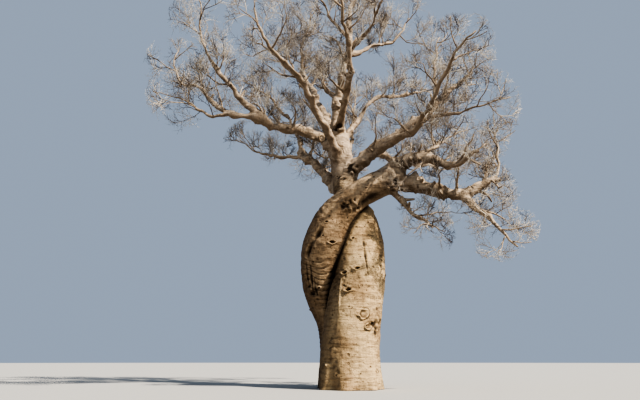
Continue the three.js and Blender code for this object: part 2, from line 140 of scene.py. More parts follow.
# %% Boughs, with radius at root and tip, the ball that their twigs fill, and the bends on their way
Bough = namedtuple("Bough", "name parent share thick ball bends")
BOUGHS = [
    ("top_bough", "upright_stem", 0.97, (0.32, 0.13), (0.6, -0.2, 22.7, 2.1),
     [(-0.42, 0.8, 16.3), (0, 0.4, 18), (0.3, 0.05, 19.5), (0.3, -0.1, 21.2)]),
    ("northwest_bough", "upright_stem", 0.93, (0.37, 0.12), (-4.8, 4.2, 21.6, 2.5),
     [(-0.9, 1.9, 14.9), (-1.7, 2.6, 16.7), (-2.6, 3.2, 18.7), (-3.9, 3.7, 20.4)]),
    ("arch_bough", "upright_stem", 0.91, (0.19, 0.09), (5.2, 4.8, 19.3, 2.4),
     [(0.5, 1.7, 14.9), (1.4, 2.5, 16.7), (2.9, 3.5, 17.8), (4.5, 4.4, 18.5)]),
    ("south_bough", "upright_stem", 0.95, (0.23, 0.1), (-0.5, -5.6, 18.9, 2.2),
     [(-0.2, -0.9, 15.1), (0, -2.9, 16.5), (-0.3, -4.8, 17.8)]),
    ("north_top_bough", "upright_stem", 0.96, (0.24, 0.1), (-1.9, 5.9, 21.3, 2.3),
     [(-0.25, 2.5, 16.6), (-1.1, 4.3, 19), (-1.5, 5.1, 20.3)]),
    ("west_bough", "upright_stem", 0.86, (0.32, 0.19), None,
     [(-1.2, 0.95, 13.65), (-2.5, 0.4, 14.1), (-4.2, -0.5, 13.95), (-5.4, -1.05, 14.4)]),
    ("east_high_bough", "upright_stem", 0.79, (0.4, 0.14), (6.5, -1.7, 16.5, 2.1),
     [(0.9, 0, 12.1), (1.9, -0.6, 12.7), (3, -1, 13.3), (4.5, -1.4, 14.3), (5.6, -1.6, 15.5)]),
    ("low_west_bough", "upright_stem", 0.7, (0.4, 0.2), None,
     [(-0.7, 1.9, 11.3), (-1.6, 2.9, 12.7), (-2.8, 3.9, 14.1)]),
    ("north_bough", "upright_stem", 0.77, (0.33, 0.14), (-1.4, 7.5, 15.7, 2.6),
     [(0.15, 2.5, 12.5), (-0.2, 4.6, 13.7), (-0.7, 6.3, 14.9)]),
    ("northeast_bough", "upright_stem", 0.81, (0.27, 0.11), (6.7, 6, 14.6, 2.6),
     [(1.5, 2.1, 13.1), (3.5, 3.8, 13.5), (5.6, 5.2, 13.9)]),
    ("south_west_bough", "upright_stem", 0.83, (0.25, 0.11), (-4, -5.4, 16.5, 2.5),
     [(-1, -0.8, 13.3), (-2.2, -2.9, 14.6), (-3.4, -4.6, 15.6)]),
    ("east_middle_bough", "winding_stem", 0.95, (0.4, 0.17), (5.6, -3.7, 10.6, 1.7),
     [(2.9, -1.15, 11.5), (3.9, -1.7, 11.65), (4.6, -2.4, 11), (5, -2.9, 10.5)]),
    ("east_low_bough", "winding_stem", 0.97, (0.43, 0.2), (7, -2.7, 9.6, 1.5),
     [(3.3, -1, 10.35), (4.3, -1.4, 9.95), (5.2, -1.75, 9.65), (6.1, -2, 9.5)]),
    ("east_small_bough", "winding_stem", 0.94, (0.19, 0.08), (3.9, -1.9, 7.7, 1.5),
     [(2.95, -0.85, 9.3), (3.3, -1.25, 8.6), (3.9, -1.7, 8.1)]),
    ("south_east_bough", "east_high_bough", 0.36, (0.21, 0.09), (4.7, -5.9, 15, 2.1),
     [(3.2, -2.4, 12.9), (4, -4.1, 13.6), (4.45, -5.3, 14.3)]),
    ("west_reach_bough", "west_bough", 0.96, (0.15, 0.09), (-8.9, -1.9, 14.9, 1.9),
     [(-6.4, -1.25, 14.45), (-7.4, -1.5, 14.35)]),
    ("west_tip_bough", "west_reach_bough", 0.6, (0.12, 0.065), (-10.1, 0.1, 17.7, 2.1),
     [(-7.7, -0.85, 15.5), (-8.45, -0.5, 16.35), (-9.4, -0.2, 16.7)]),
    ("west_high_bough", "west_bough", 0.93, (0.16, 0.08), (-7.4, -2.7, 18.7, 2.5),
     [(-6, -1.35, 15.1), (-6.6, -1.75, 16), (-7.5, -2.3, 17.1)]),
    ("low_west_high_bough", "low_west_bough", 0.95, (0.18, 0.08), (-5.7, 6.7, 19.7, 2.8),
     [(-3.4, 5, 16.6), (-4.6, 6, 18.7)]),
    ("low_west_side_bough", "low_west_bough", 0.9, (0.13, 0.07), (-6.2, 5.9, 15.2, 2.1),
     [(-3.9, 4.5, 14), (-5.3, 5.3, 14.7)]),
    ("northwest_upright_bough", "northwest_bough", 0.64, (0.15, 0.08), (-2.5, 3, 22.6, 2),
     [(-2.5, 3.25, 20.2), (-2.6, 3.05, 21.5)]),
    ("top_west_bough", "top_bough", 0.83, (0.12, 0.07), (-1.9, -1.4, 22.6, 2),
     [(-0.6, -0.5, 20.5), (-1.25, -0.9, 21.6)]),
    ("top_east_bough", "top_bough", 0.7, (0.14, 0.08), (3.9, 1.9, 21.7, 2.2),
     [(1.6, 0.8, 20), (3.1, 1.6, 20.8)]),
    ("top_south_bough", "top_bough", 0.76, (0.14, 0.075), (2.1, -3.6, 20.7, 2.3),
     [(1.1, -1.3, 19.5), (1.8, -2.9, 19.9)]),
    ("east_high_upright_bough", "east_high_bough", 0.8, (0.12, 0.07), (5.6, -0.6, 19, 2),
     [(5, -1, 16.3), (5.3, -0.7, 18)]),
    ("east_high_side_bough", "east_high_bough", 0.68, (0.11, 0.06), (6.9, -3.3, 13.8, 1.9),
     [(5.2, -2.05, 13.8), (6.2, -2.8, 13.7)]),
    ("east_middle_upright_bough", "east_middle_bough", 0.45, (0.13, 0.07), (5.9, 0.3, 13.5, 2),
     [(4.5, -1.25, 12.3), (5.1, -0.5, 12.9)]),
    ("east_low_upright_bough", "east_low_bough", 0.93, (0.18, 0.09), (8, -0.9, 12.6, 1.8),
     [(7, -1.6, 10.2), (7.9, -1.2, 10.9), (7.9, -1, 11.8)]),
    ("east_hanging_bough", "east_low_bough", 0.88, (0.18, 0.09), (7, -3.9, 6.9, 1.4),
     [(6.3, -2.5, 8.7), (6.6, -3.1, 8), (6.8, -3.5, 7.4)]),
    ("north_high_bough", "north_bough", 0.55, (0.16, 0.08), (1.1, 7, 19, 2.5),
     [(0.5, 5.2, 15.9), (0.8, 6.2, 17.9)]),
]
BOUGHS = [Bough(*row) for row in BOUGHS]
twigged = [bough for bough in BOUGHS if bough.ball]
print(f"2 stems and {len(BOUGHS)} boughs, {len(twigged)} of them with twigs at the tip")

# %% [markdown]
# ## A limb as a curve
#
# A living limb bends smoothly, and a Catmull-Rom curve passes through every knot without overshooting between
# them. Blender's own curve objects could draw it, but plain arrays of points are easier to measure against:
# twigs have to know where on a limb they start, and bark has to know which limb it lies on.


# %% A smooth curve through knots
CURVE_SAMPLES, FEWEST_STEPS = 400, 4
NUDGE = 1e-4


def lengths(ways):
    """How long each way is."""
    return np.linalg.norm(ways, axis=-1)


def way_along(path):
    """How far along a path each of its points lies."""
    return np.concatenate([[0], np.cumsum(lengths(np.diff(path, axis=0)))])


def cubic(low, high, start, finish, part):
    """Places at a part of the way from low to high; start and finish are the curve's ways at its ends."""
    square = 3 * (high - low) - 2 * start - finish
    cube = 2 * (low - high) + start + finish
    return low + start * part + square * part**2 + cube * part**3


def through(knots, shares):
    """Places on the curve through the knots, at shares of its parameter."""
    whole = np.vstack([2 * knots[0] - knots[1], knots, 2 * knots[-1] - knots[-2]])
    place = np.clip(shares, 0, 1) * (len(knots) - 1)
    order = np.minimum(place.astype(int), len(knots) - 2)
    before, low, high, after = (whole[order + step] for step in range(4))
    ways = (low - before, high - low, after - high)
    step_0, step_1, step_2 = (np.sqrt(lengths(way))[:, None] for way in ways)
    start = (low - before) / step_0 - (high - before) / (step_0 + step_1) + (high - low) / step_1
    finish = (high - low) / step_1 - (after - low) / (step_1 + step_2) + (after - high) / step_2
    return cubic(low, high, start * step_1, finish * step_1, (place - order)[:, None])


class Limb:
    """A stem or bough: a curve with a radius all along it."""

    def __init__(self, name, knots, radius_at, blend):
        self.knots, self.radius_at, self.blend = np.array(knots, float), radius_at, blend
        self.is_stem = name.endswith("_stem")
        self.shares = np.linspace(0, 1, CURVE_SAMPLES + 1)
        self.gone = way_along(through(self.knots, self.shares))
        self.length = self.gone[-1]

    def parameter(self, share):
        """The curve's parameter at a share of the limb's length."""
        return np.interp(share * self.length, self.gone, self.shares)

    def rings(self, spacing):
        """Centres, headings and radii at even steps."""
        even = np.linspace(0, 1, max(FEWEST_STEPS, round(self.length / spacing)) + 1)
        inner = self.parameter(even)
        heading = through(self.knots, inner + NUDGE) - through(self.knots, inner - NUDGE)
        heading /= lengths(heading)[:, None]
        return through(self.knots, inner), heading, self.radius_at(even, self.length)


# %% Grow every limb from its parent
STEMS = {"upright": UPRIGHT_STEM, "winding": WINDING_STEM}
COLLAR_SWELL, COLLAR_REACH = 0.45, 2.6
STEM_BLEND, FORK_BLEND = 0.3, 0.75


def grow_stem(name, table):
    """A stem's radius runs from each knot to the next."""
    knots = np.array(table, float)
    reached = way_along(knots[:, :3])

    def radius_at(even, _):
        return np.interp(even, reached / reached[-1], knots[:, 3])

    return Limb(name, knots[:, :3], radius_at, STEM_BLEND)


def grow_bough(name, parent, share, thick, bends):
    """A bough tapers from a swollen collar where it leaves its parent."""
    root = through(parent.knots, np.array([parent.parameter(share)]))

    def radius_at(even, length):
        collar = COLLAR_SWELL * np.exp(-even * length / (COLLAR_REACH * thick[0]))
        return (thick[0] + (thick[1] - thick[0]) * even) * (1 + collar)

    return Limb(name, np.vstack([root, bends]), radius_at, FORK_BLEND * thick[0])


limbs = {f"{side}_stem": grow_stem(f"{side}_stem", table) for side, table in STEMS.items()}
carrier = {f"{side}_stem": side for side in STEMS}
for name, parent, share, thick, _, bends in BOUGHS:
    limbs[name] = grow_bough(name, limbs[parent], share, thick, bends)
    carrier[name] = carrier[parent]
print(f"{sum(limb.length for limb in limbs.values()):.0f} m of limbs")

# %% [markdown]
# ## Tubes from arrays
#
# Thousands of twigs are thousands of tubes. One curve object each would take minutes, so one function works
# out the corners of all the tubes of a kind at once. Each tube is closed: flat at its root, which is sunk in
# wood, and pointed at its tip.

# %% Many tubes at once
NEARLY_UPRIGHT = 0.9
TINY = 1e-9


def unit(ways):
    """The same ways at length 1."""
    return ways / np.maximum(np.linalg.norm(ways, axis=-1, keepdims=True), TINY)


def square_to(ways):
    """For each way, one that is square to it."""
    upright = np.abs(ways[..., 2:]) > NEARLY_UPRIGHT
    return unit(np.cross(np.where(upright, (1.0, 0, 0), (0, 0, 1.0)), ways))


def tubes(paths, radii, sides):
    """Corners and triangles of tubes: paths (tubes, rings + 1, 3), tip last, and radii (tubes, rings)."""
    count, rings = radii.shape
    steps = unit(np.diff(paths, axis=1))
    turns = 2 * np.pi * np.arange(sides) / sides
    side = square_to(steps[:, 0])
    corners = []
    for ring in range(rings):
        along = unit(steps[:, max(ring - 1, 0)] + steps[:, ring])
        side = unit(side - along * (side * along).sum(1, keepdims=True))
        across = np.cross(along, side)
        wheel = np.cos(turns)[:, None] * side[:, None] + np.sin(turns)[:, None] * across[:, None]
        corners.append(paths[:, ring, None] + radii[:, ring, None, None] * wheel)
    corners.append(paths[:, -1:])
    corners = np.concatenate(corners, axis=1)
    here = np.arange(sides)
    after = (here + 1) % sides
    faces = [(0, corner + 1, corner) for corner in range(1, sides - 1)]
    for low in range(0, (rings - 1) * sides, sides):
        faces += list(zip(low + here, low + after, low + sides + after))
        faces += list(zip(low + here, low + sides + after, low + sides + here))
    last = (rings - 1) * sides
    faces += [(last + corner, last + (corner + 1) % sides, rings * sides) for corner in range(sides)]
    offsets = np.arange(count) * corners.shape[1]
    triangles = (np.array(faces)[None] + offsets[:, None, None]).reshape(-1, 3)
    return corners.reshape(-1, 3), triangles


# %% Meshes from arrays, and back
def set_corners(mesh, corners):
    """Puts the corners of a mesh where the array says."""
    mesh.vertices.foreach_set("co", np.ascontiguousarray(corners, np.float32).ravel())


def corners_of(mesh):
    """The corners of a mesh as an array."""
    places = np.empty(len(mesh.vertices) * 3, np.float32)
    mesh.vertices.foreach_get("co", places)
    return places.reshape(-1, 3).astype(float)


def mesh_of(name, corners, faces):
    """A mesh from arrays of corners and of faces that all have the same number of corners."""
    mesh = bpy.data.meshes.new(name)
    mesh.vertices.add(len(corners))
    set_corners(mesh, corners)
    mesh.loops.add(faces.size)
    mesh.loops.foreach_set("vertex_index", np.ascontiguousarray(faces, np.int32).ravel())
    mesh.polygons.add(len(faces))
    mesh.polygons.foreach_set("loop_start", np.arange(0, faces.size, faces.shape[1], dtype=np.int32))
    mesh.update(calc_edges=True)
    return mesh


def joined(parts):
    """Corners and faces of several meshes as those of one."""
    starts = np.cumsum([0] + [len(corners) for corners, _ in parts])
    faces = [own + start for (_, own), start in zip(parts, starts)]
    return np.vstack([corners for corners, _ in parts]), np.vstack(faces)


# %% [markdown]
# ## Where side limbs leave the boughs
#
# Smaller limbs leave the outer two thirds of every bough, most of them upwards, each from a knuckle of
# swollen wood. Some broke off long ago, and the knuckle stays as a stub. Knuckles could be separate pieces,
# but as short limbs that are melted into the skin with the boughs they leave no seam. What grows from them
# comes later, with the twigs.

# %% Knuckles and stubs
SIDE_SPACING, SIDE_FROM = 0.75, 0.3
SIDE_REACH, INNER_SHARE = (1.4, 2.7), 0.3
SIDE_RADIUS, THICKEST_SIDE, SIDE_THICKNESS = 0.5, 0.085, (0.75, 1)
SIDE_LEAN, SIDE_LIFT, DROOP = (0.2, 0.9), 0.8, 0.25
KNUCKLE_LENGTH, STUB_LENGTH = (0.08, 0.16), (0.2, 0.5)
KNUCKLE_SWELL = 1.5
STUB_SHARE = 0.25
SIDE_SEED = 5
WORD = 2**32 - 1
SideLimb = namedtuple("SideLimb", "bough root way knuckle radius reach key")


def way_out(heading, draw):
    """A way out of a limb at random round it, which droops a little at most."""
    side = square_to(heading)
    angle = draw.uniform(0, 2 * np.pi)
    out = side * math.cos(angle) + np.cross(heading, side) * math.sin(angle)
    out[2] = max(out[2], -DROOP)
    return out


def pick_side_limbs():
    """Where side limbs leave the boughs; a broken one has no reach beyond its knuckle."""
    draw = np.random.default_rng(SIDE_SEED)
    picked = []
    for number, bough in enumerate(BOUGHS):
        centres, headings, radii = limbs[bough.name].rings(SIDE_SPACING)
        for step in range(max(1, round(SIDE_FROM * len(centres))), len(centres) - 1):
            out = way_out(headings[step], draw)
            lean = headings[step] * draw.uniform(*SIDE_LEAN)
            way = unit(out + lean + (0, 0, SIDE_LIFT * draw.uniform(0, 1)))
            broken = draw.uniform() < STUB_SHARE
            outward = INNER_SHARE + (1 - INNER_SHARE) * step / len(centres)
            knuckle = radii[step] + draw.uniform(*(STUB_LENGTH if broken else KNUCKLE_LENGTH))
            radius = min(SIDE_RADIUS * radii[step], THICKEST_SIDE) * draw.uniform(*SIDE_THICKNESS)
            reach = 0 if broken else draw.uniform(*SIDE_REACH) * outward
            key = draw.integers(1, WORD + 1)
            picked.append(SideLimb(number, centres[step], way, knuckle, radius, reach, key))
    return picked


def knuckle_of(side_limb):
    """The short swollen limb that a side limb grows from."""
    root, run = side_limb.root, side_limb.way * side_limb.knuckle
    thick = (side_limb.radius * KNUCKLE_SWELL, side_limb.radius)
    knots = (root, root + run / 2, root + run)
    return Limb("knuckle", knots, lambda even, _: np.interp(even, (0, 1), thick), thick[0])


side_limbs = pick_side_limbs()
knuckles = {side: [] for side in STEMS}
for side_limb in side_limbs:
    knuckles[carrier[BOUGHS[side_limb.bough].name]].append(knuckle_of(side_limb))
print(f"{len(side_limbs)} knuckles, {sum(row.reach == 0 for row in side_limbs)} of them broken stubs")

# %% [markdown]
# ## Wood that flows from stem to bough
#
# Where a bough leaves a stem the wood swells and flows into it, with no seam. Boolean unions leave a hard
# crease there. So the limbs are first melted into one rough skin by a voxel remesh. Then every corner is
# moved to where a smooth formula says that the wood ends: its distance to each limb, with near limbs blended
# into one another.

# %% The rough skin
STEM_RING, BOUGH_RING = 0.25, 0.2
SMOOTHED_OVER = 5
ROUGH_SIDES = 24
BELOW_GROUND = 0.5
VOXEL = {"upright": 0.071, "winding": 0.056}


def path_of(limb):
    """Fine points along a limb with its radii; a stem goes on a little below the ground, to be cut level."""
    centres, _, radii = limb.rings(STEM_RING if limb.is_stem else BOUGH_RING)
    if limb.is_stem:
        radii = np.pad(radii, SMOOTHED_OVER // 2, mode="edge")
        radii = np.convolve(radii, np.full(SMOOTHED_OVER, 1 / SMOOTHED_OVER), mode="valid")
        centres = np.vstack([centres[0] - (0, 0, BELOW_GROUND), centres])
        radii = np.concatenate([radii[:1], radii])
    return centres, radii


def rough_skin(chosen, voxel):
    """The limbs as overlapping tubes, remeshed into one closed skin: its corners and its four-sided faces."""
    parts = []
    for limb in chosen:
        centres, radii = path_of(limb)
        tip = centres[-1] + unit(centres[-1] - centres[-2]) * radii[-1]
        parts.append(tubes(np.vstack([centres, tip])[None], radii[None], ROUGH_SIDES))
    rough = add_object("rough", mesh_of("rough", *joined(parts)))
    remesh = rough.modifiers.new("melt", "REMESH")
    remesh.mode = "VOXEL"
    remesh.voxel_size = voxel
    melted = bpy.data.meshes.new_from_object(rough.evaluated_get(bpy.context.evaluated_depsgraph_get()))
    corners = corners_of(melted)
    quads = np.empty(len(melted.loops), np.int32)
    melted.loops.foreach_get("vertex_index", quads)
    bpy.data.objects.remove(rough)
    bpy.data.meshes.remove(melted)
    return corners, quads.reshape(-1, 4)


# %% Where the wood ends
FAR = 9.0
CHUNK = 4000
ROOT_LOBES, ROOT_LOBE_DEPTH, ROOT_FLARE_HEIGHT = 7, 0.07, 0.9
OFF, OUT, RADIUS, ALONG, WOOD_COLUMNS = 0, slice(1, 4), 4, 5, 6


def limb_distance(points, path, radii, lobed):
    """How far points lie outside a limb, the way outwards, its radius there and how far along it that is."""
    low, run = path[:-1], np.diff(path, axis=0)
    steps, gone = lengths(run), way_along(path)
    found = []
    for first in range(0, len(points), CHUNK):
        some = points[first : first + CHUNK]
        offset = some[:, None] - low
        share = np.clip((offset * run).sum(2) / steps**2, 0, 1)
        thick = radii[:-1] + share * np.diff(radii)
        best = (lengths(offset - share[..., None] * run) - thick).argmin(1)
        at = np.arange(len(some)), best
        away = offset[at] - share[at][:, None] * run[best]
        found.append(np.column_stack([away, thick[at], gone[best] + share[at] * steps[best]]))
    found = np.vstack(found)
    away, thick, along = found[:, :3], found[:, 3], found[:, 4]
    if lobed:
        fade = ROOT_LOBE_DEPTH * np.exp(-np.maximum(points[:, 2], 0) / ROOT_FLARE_HEIGHT)
        thick = thick * (1 + fade * np.cos(ROOT_LOBES * np.arctan2(away[:, 1], away[:, 0])))
    return lengths(away) - thick, unit(away), thick, along


def wood_at(points, chosen):
    """The same for several limbs that flow into one another, in the columns OFF, OUT, RADIUS and ALONG."""
    wood = np.zeros((len(points), WOOD_COLUMNS))
    wood[:, OFF] = FAR
    for limb in chosen:
        path, radii = path_of(limb)
        reach = radii.max() + 2 * limb.blend
        inside = (points > path.min(0) - reach) & (points < path.max(0) + reach)
        near = np.flatnonzero(inside.all(1))
        if not len(near):
            continue
        own = np.column_stack(limb_distance(points[near], path, radii, limb.is_stem))
        share = np.clip(0.5 + 0.5 * (wood[near, OFF] - own[:, OFF]) / limb.blend, 0, 1)[:, None]
        wood[near] = wood[near] * (1 - share) + own * share
        wood[near, OFF] -= limb.blend * (share * (1 - share))[:, 0]
    wood[:, OUT] = unit(wood[:, OUT])
    return wood


def settled(corners, chosen):
    """The corners moved to where the wood ends, and the wood where they were."""
    wood = wood_at(corners, chosen)
    return corners - wood[:, OFF, None] * wood[:, OUT], wood


# %% Both skins, drawn onto the wood
SETTLE_ROUNDS = 3

skins = {}
for side in STEMS:
    names = [name for name in limbs if carrier[name] == side]
    melted = [limbs[name] for name in names] + knuckles[side]
    corners, quads = rough_skin(melted, VOXEL[side])
    for _ in range(SETTLE_ROUNDS):
        corners, wood = settled(corners, melted)
    skins[side] = {"names": names, "melted": melted, "corners": corners, "quads": quads, "wood": wood}
    off = np.abs(wood[:, OFF]).mean() * 1000
    print(f"{side}: {len(quads)} faces, off by {off:.2f} mm before the last move")

# %% [markdown]
# ## Marks on the bark
#
# Where small branches died and fell, the bark closed round the wound: an eye with a hollow and a thick lip.
# Painted shade darkens the hollows of all the marks, and painted light pales their lips and rings. The big
# ones are placed by the photograph's pixels, by looking through the camera at the skin. The rest, round the
# sides and the back, are dealt out by a seeded rule. They could be painted, but real relief also shows in the
# outline and in the shadows.

# %% Marks that the photograph shows: kind, column, row, width, height and depth in metres
SEEN_MARKS = [
    ("eye", 326.5, 221.5, 0.26, 0.15, 0.06), ("eye", 332, 242, 0.42, 0.22, 0.1),
    ("eye", 357, 268, 0.46, 0.19, 0.09), ("eye", 344, 272.5, 0.42, 0.24, 0.1),
    ("eye", 348, 289.5, 0.48, 0.25, 0.12), ("scar", 363, 314, 0.62, 0.54, 0.08),
    ("scar", 367.5, 326.5, 0.5, 0.36, 0.08), ("burl", 378, 318, 0.45, 0.5, 0.15),
    ("burl", 371, 322, 0.3, 0.25, 0.1), ("rough", 374, 323, 0.5, 0.6, 0.06),
    ("rough", 376, 331, 0.7, 0.5, 0.05), ("rough", 345, 205, 0.5, 0.62, 0.1),
    ("rough", 358, 207, 0.62, 0.42, 0.1), ("rough", 352, 201, 0.6, 0.3, 0.07),
    ("rough", 393, 184, 0.9, 0.8, 0.12), ("burl", 392, 188, 0.9, 0.7, 0.2),
    ("rough", 337, 128, 0.9, 0.5, 0.09), ("rough", 352, 168, 0.8, 0.7, 0.08),
    ("rough", 342, 178, 0.6, 0.3, 0.06), ("rough", 312, 290, 0.5, 0.7, 0.05),
    ("pit", 366, 284, 0.12, 0.12, 0.035), ("pit", 369, 286, 0.1, 0.12, 0.035),
    ("pit", 373, 284, 0.12, 0.1, 0.035), ("eye", 344, 204, 0.3, 0.24, 0.08),
    ("burl", 349, 209, 0.45, 0.3, 0.1), ("eye", 366, 188, 0.24, 0.12, 0.05),
    ("scar", 321.5, 137.5, 0.42, 0.5, 0.07), ("eye", 313, 262, 0.16, 0.12, 0.04),
    ("pit", 318, 260, 0.12, 0.1, 0.03), ("eye", 319, 288, 0.2, 0.12, 0.05),
    ("pit", 348, 218, 0.14, 0.14, 0.035), ("pit", 358, 285, 0.1, 0.08, 0.03),
]

# %% Cracks that it shows: pixels along each, width and depth in metres, below 0 for a seam that stands out
SEEN_CRACKS = [
    ([(362.5, 234), (364, 246), (365, 255), (366.5, 264), (368, 274)], 0.055, 0.06),
    ([(323, 227), (317, 236), (312, 243), (308.5, 251), (306, 258)], 0.12, 0.17),
    ([(310, 264), (311, 276), (314, 292)], 0.06, 0.06),
    ([(314, 278), (315.5, 288), (318, 297)], 0.06, 0.05),
    ([(306, 262), (306.5, 274), (309, 286)], 0.06, 0.06),
    # This seam stands out and gets a painted highlight along its ridge
    ([(341, 277), (340.5, 290), (339.5, 303), (339, 314)], 0.05, -0.05),
    # This wide, shallow groove is mostly a painted shadow: the dark band below the crossing limb
    ([(350, 209), (358, 206), (366, 201), (374, 195), (382, 190)], 0.27, 0.12),
    # This wide, shallow groove is mostly painted shade where the winding stem turns away behind the upright
    # one
    ([(331, 288), (326, 302), (323, 316), (323, 330)], 0.25, 0.1),
]

# %% Find a pixel on the skins
trees = {}
for side, skin in skins.items():
    trees[side] = BVHTree.FromPolygons(skin["corners"].tolist(), skin["quads"].tolist())


def sight(column, row):
    """The way from the camera through a pixel of the photograph."""
    right = (column - PHOTO_WIDTH / 2) / FOCAL_PIXELS
    up = (PHOTO_HEIGHT / 2 - row) / FOCAL_PIXELS
    rise = math.sin(look_up) + up * math.cos(look_up)
    return Vector((right, math.cos(look_up) - up * math.sin(look_up), rise)).normalized()


def seen_at(column, row):
    """The skin that a pixel shows, and the place and the way out there."""
    hits = []
    for side, tree in trees.items():
        place, normal, _, distance = tree.ray_cast(EYE, sight(column, row))
        if place:
            hits.append((distance, side, np.array(place), np.array(normal)))
    return min(hits, key=lambda hit: hit[0])[1:] if hits else (None, None, None)


# %% All the marks, those that show and those that are dealt out
BARK_SEED = 7
LARGE, SMALL = 0.28, 0.11
DEALT = {"upright": {LARGE: 34, SMALL: 90}, "winding": {LARGE: 22, SMALL: 70}}
LARGE_KINDS = ("eye", "eye", "burl")
WIDTHS, HEIGHTS, DEPTHS = (0.7, 1.3), (0.55, 0.9), (0.2, 0.3)
KNOBS = {"upright": 150, "winding": 60}
KNOB_SIZES, KNOB_DEPTHS = (0.8, 1.6), (0.12, 0.3)
KEEP_OFF = 0.7
MARKED_FROM, MARKED_TO = 0.6, 13.0
MARKED_RADIUS, KNOBBED_FROM, KNOBBED_TO = 0.5, 0.1, 0.45


def pick_marks():
    """For each skin, its marks as (kind, place, way out, width, height, depth)."""
    marks = {side: [] for side in skins}
    for kind, column, row, *measures in SEEN_MARKS:
        side, place, out = seen_at(column, row)
        if side:
            marks[side].append((kind, place, out, *measures))
    draw = np.random.default_rng(BARK_SEED)
    for side, skin in skins.items():
        corners, ways, radii = skin["corners"], skin["wood"][:, OUT], skin["wood"][:, RADIUS]
        seen = np.array([place for _, place, *_ in marks[side]])
        marked = (radii > MARKED_RADIUS) & (corners[:, 2] > MARKED_FROM) & (corners[:, 2] < MARKED_TO)
        for size, count in DEALT[side].items():
            for choice in draw.choice(np.flatnonzero(marked), count):
                width = size * draw.uniform(*WIDTHS)
                height, depth = width * draw.uniform(*HEIGHTS), width * draw.uniform(*DEPTHS)
                if size == LARGE and lengths(seen - corners[choice]).min() < KEEP_OFF:
                    continue
                kind = LARGE_KINDS[draw.integers(len(LARGE_KINDS))] if size == LARGE else "pit"
                marks[side].append((kind, corners[choice], ways[choice], width, height, depth))
        knobbed = (radii > KNOBBED_FROM) & (radii < KNOBBED_TO)
        for choice in draw.choice(np.flatnonzero(knobbed), KNOBS[side]):
            width, height = radii[choice] * draw.uniform(*KNOB_SIZES, 2)
            depth = width * draw.uniform(*KNOB_DEPTHS)
            marks[side].append(("burl", corners[choice], ways[choice], width, height, depth))
    return marks


def pick_cracks():
    """For each skin, the cracks that lie on it from end to end, as (path, width, depth)."""
    cracks = {side: [] for side in skins}
    for pixels, width, depth in SEEN_CRACKS:
        sides, places, _ = zip(*(seen_at(*pixel) for pixel in pixels))
        if sides[0] and len(set(sides)) == 1:
            cracks[sides[0]].append((np.array(places), width, depth))
    return cracks


marks, cracks = pick_marks(), pick_cracks()
for side in skins:
    print(f"{side}: {len(marks[side])} marks and {len(cracks[side])} cracks")

# %% The shape of each kind of mark
LIP_WIDTH, CORE_WIDTH = 0.36, 0.62


def cloud(points, scale, shift=0.0):
    """Soft noise from about -1 to 1 at that many lumps to the metre."""
    return np.array([noise.noise(place) for place in (points * scale + shift).tolist()])


def hump(off, width=1.0):
    """1 where off is 0, and smoothly less over that width."""
    return np.exp(-((off / width) ** 2))


def flat_hump(off, width=1.0):
    """The same with a flat top and steeper sides."""
    return np.exp(-((off / width) ** 4))


def eye(across, up, _):
    """Pointed corners and a thick lip that is highest below; painted light pales the lower lip and painted
    shade darkens the hollow.
    """
    corner, tilt, middle, lip_rise, lip_pale = 0.5, 0.85, 0.2, 0.42, 0.7
    off = np.hypot(across, up * (1 + corner * np.abs(across)))
    low_side = 1 - tilt * up / np.maximum(off, middle)
    lip, core = hump(off - 1, LIP_WIDTH), flat_hump(off, CORE_WIDTH)
    return lip_rise * lip * low_side - core, core - lip_pale * lip * np.clip(low_side - 1, 0, 1)


def scar(across, up, ripple):
    """An uneven ring with a painted highlight; painted shade darkens its middle and a line inside and outside
    it, the inner line fading to the right and the outer one to the left.
    """
    ring_at, inner_at, outer_at, width, thin = 0.8, 0.45, 1.12, 0.17, 0.14
    wobble, ring_rise, ring_drop, ring_most = 0.5, 0.9, 0.25, 1.3
    inner_dark, outer_dark, fade, faintest = 0.6, 0.7, 0.5, 0.2
    line_depth, core_depth = 0.3, 0.3
    line_dark, core_dark, ring_pale = 0.8, 0.2, 0.4
    core = flat_hump(np.hypot(across, up), CORE_WIDTH)
    off = np.hypot(across, up) * (1 + wobble * ripple)
    ring = hump(off - ring_at, width) * np.clip(ring_rise + ripple - ring_drop * up, 0, ring_most)
    inner = hump(off - inner_at, width) * np.clip(inner_dark - fade * across, faintest, 1)
    lines = inner + hump(off - outer_at, thin) * np.clip(outer_dark + fade * across, faintest, 1)
    rise = ring - line_depth * lines - core_depth * core
    return rise, line_dark * lines + core_dark * core - ring_pale * ring


def burl(across, up, _):
    """A swelling with a few soft waves across it, and painted shade round its foot."""
    off = np.hypot(across, up)
    steep, wave, waves_across, waves_up, rim_dark = 1.3, 0.35, 5, 2, 0.3
    rise = np.exp(-steep * off**2) * (1 + wave * np.sin(waves_across * across + waves_up * up))
    return rise, rim_dark * hump(off - 1, LIP_WIDTH)


def rough(across, up, ripple):
    """A patch of lumps with painted shade in the hollows between them."""
    swell, lumps, dark, dark_lumps = 0.3, 2.4, 0.3, 3.2
    off = np.hypot(across, up)
    return hump(off) * (swell + lumps * ripple), flat_hump(off) * np.clip(dark - dark_lumps * ripple, 0, 1)


def pit(across, up, _):
    """A small hole, darkened by painted shade, with a faint rim."""
    off, rim_rise = np.hypot(across, up), 0.15
    core = flat_hump(off, CORE_WIDTH)
    return rim_rise * hump(off - 1, LIP_WIDTH) - core, core


# %% Press the marks into a skin
MARK_SHAPES = {"eye": eye, "scar": scar, "burl": burl, "rough": rough, "pit": pit}
RIPPLE_SCALE = 4.2
FACING_OUT = 0.1


def stronger(one, other):
    """Of two hollows of painted shade, or painted highlights on lips and seams that are below 0, the one that
    is farther from 0.
    """
    return np.where(np.abs(one) > np.abs(other), one, other)


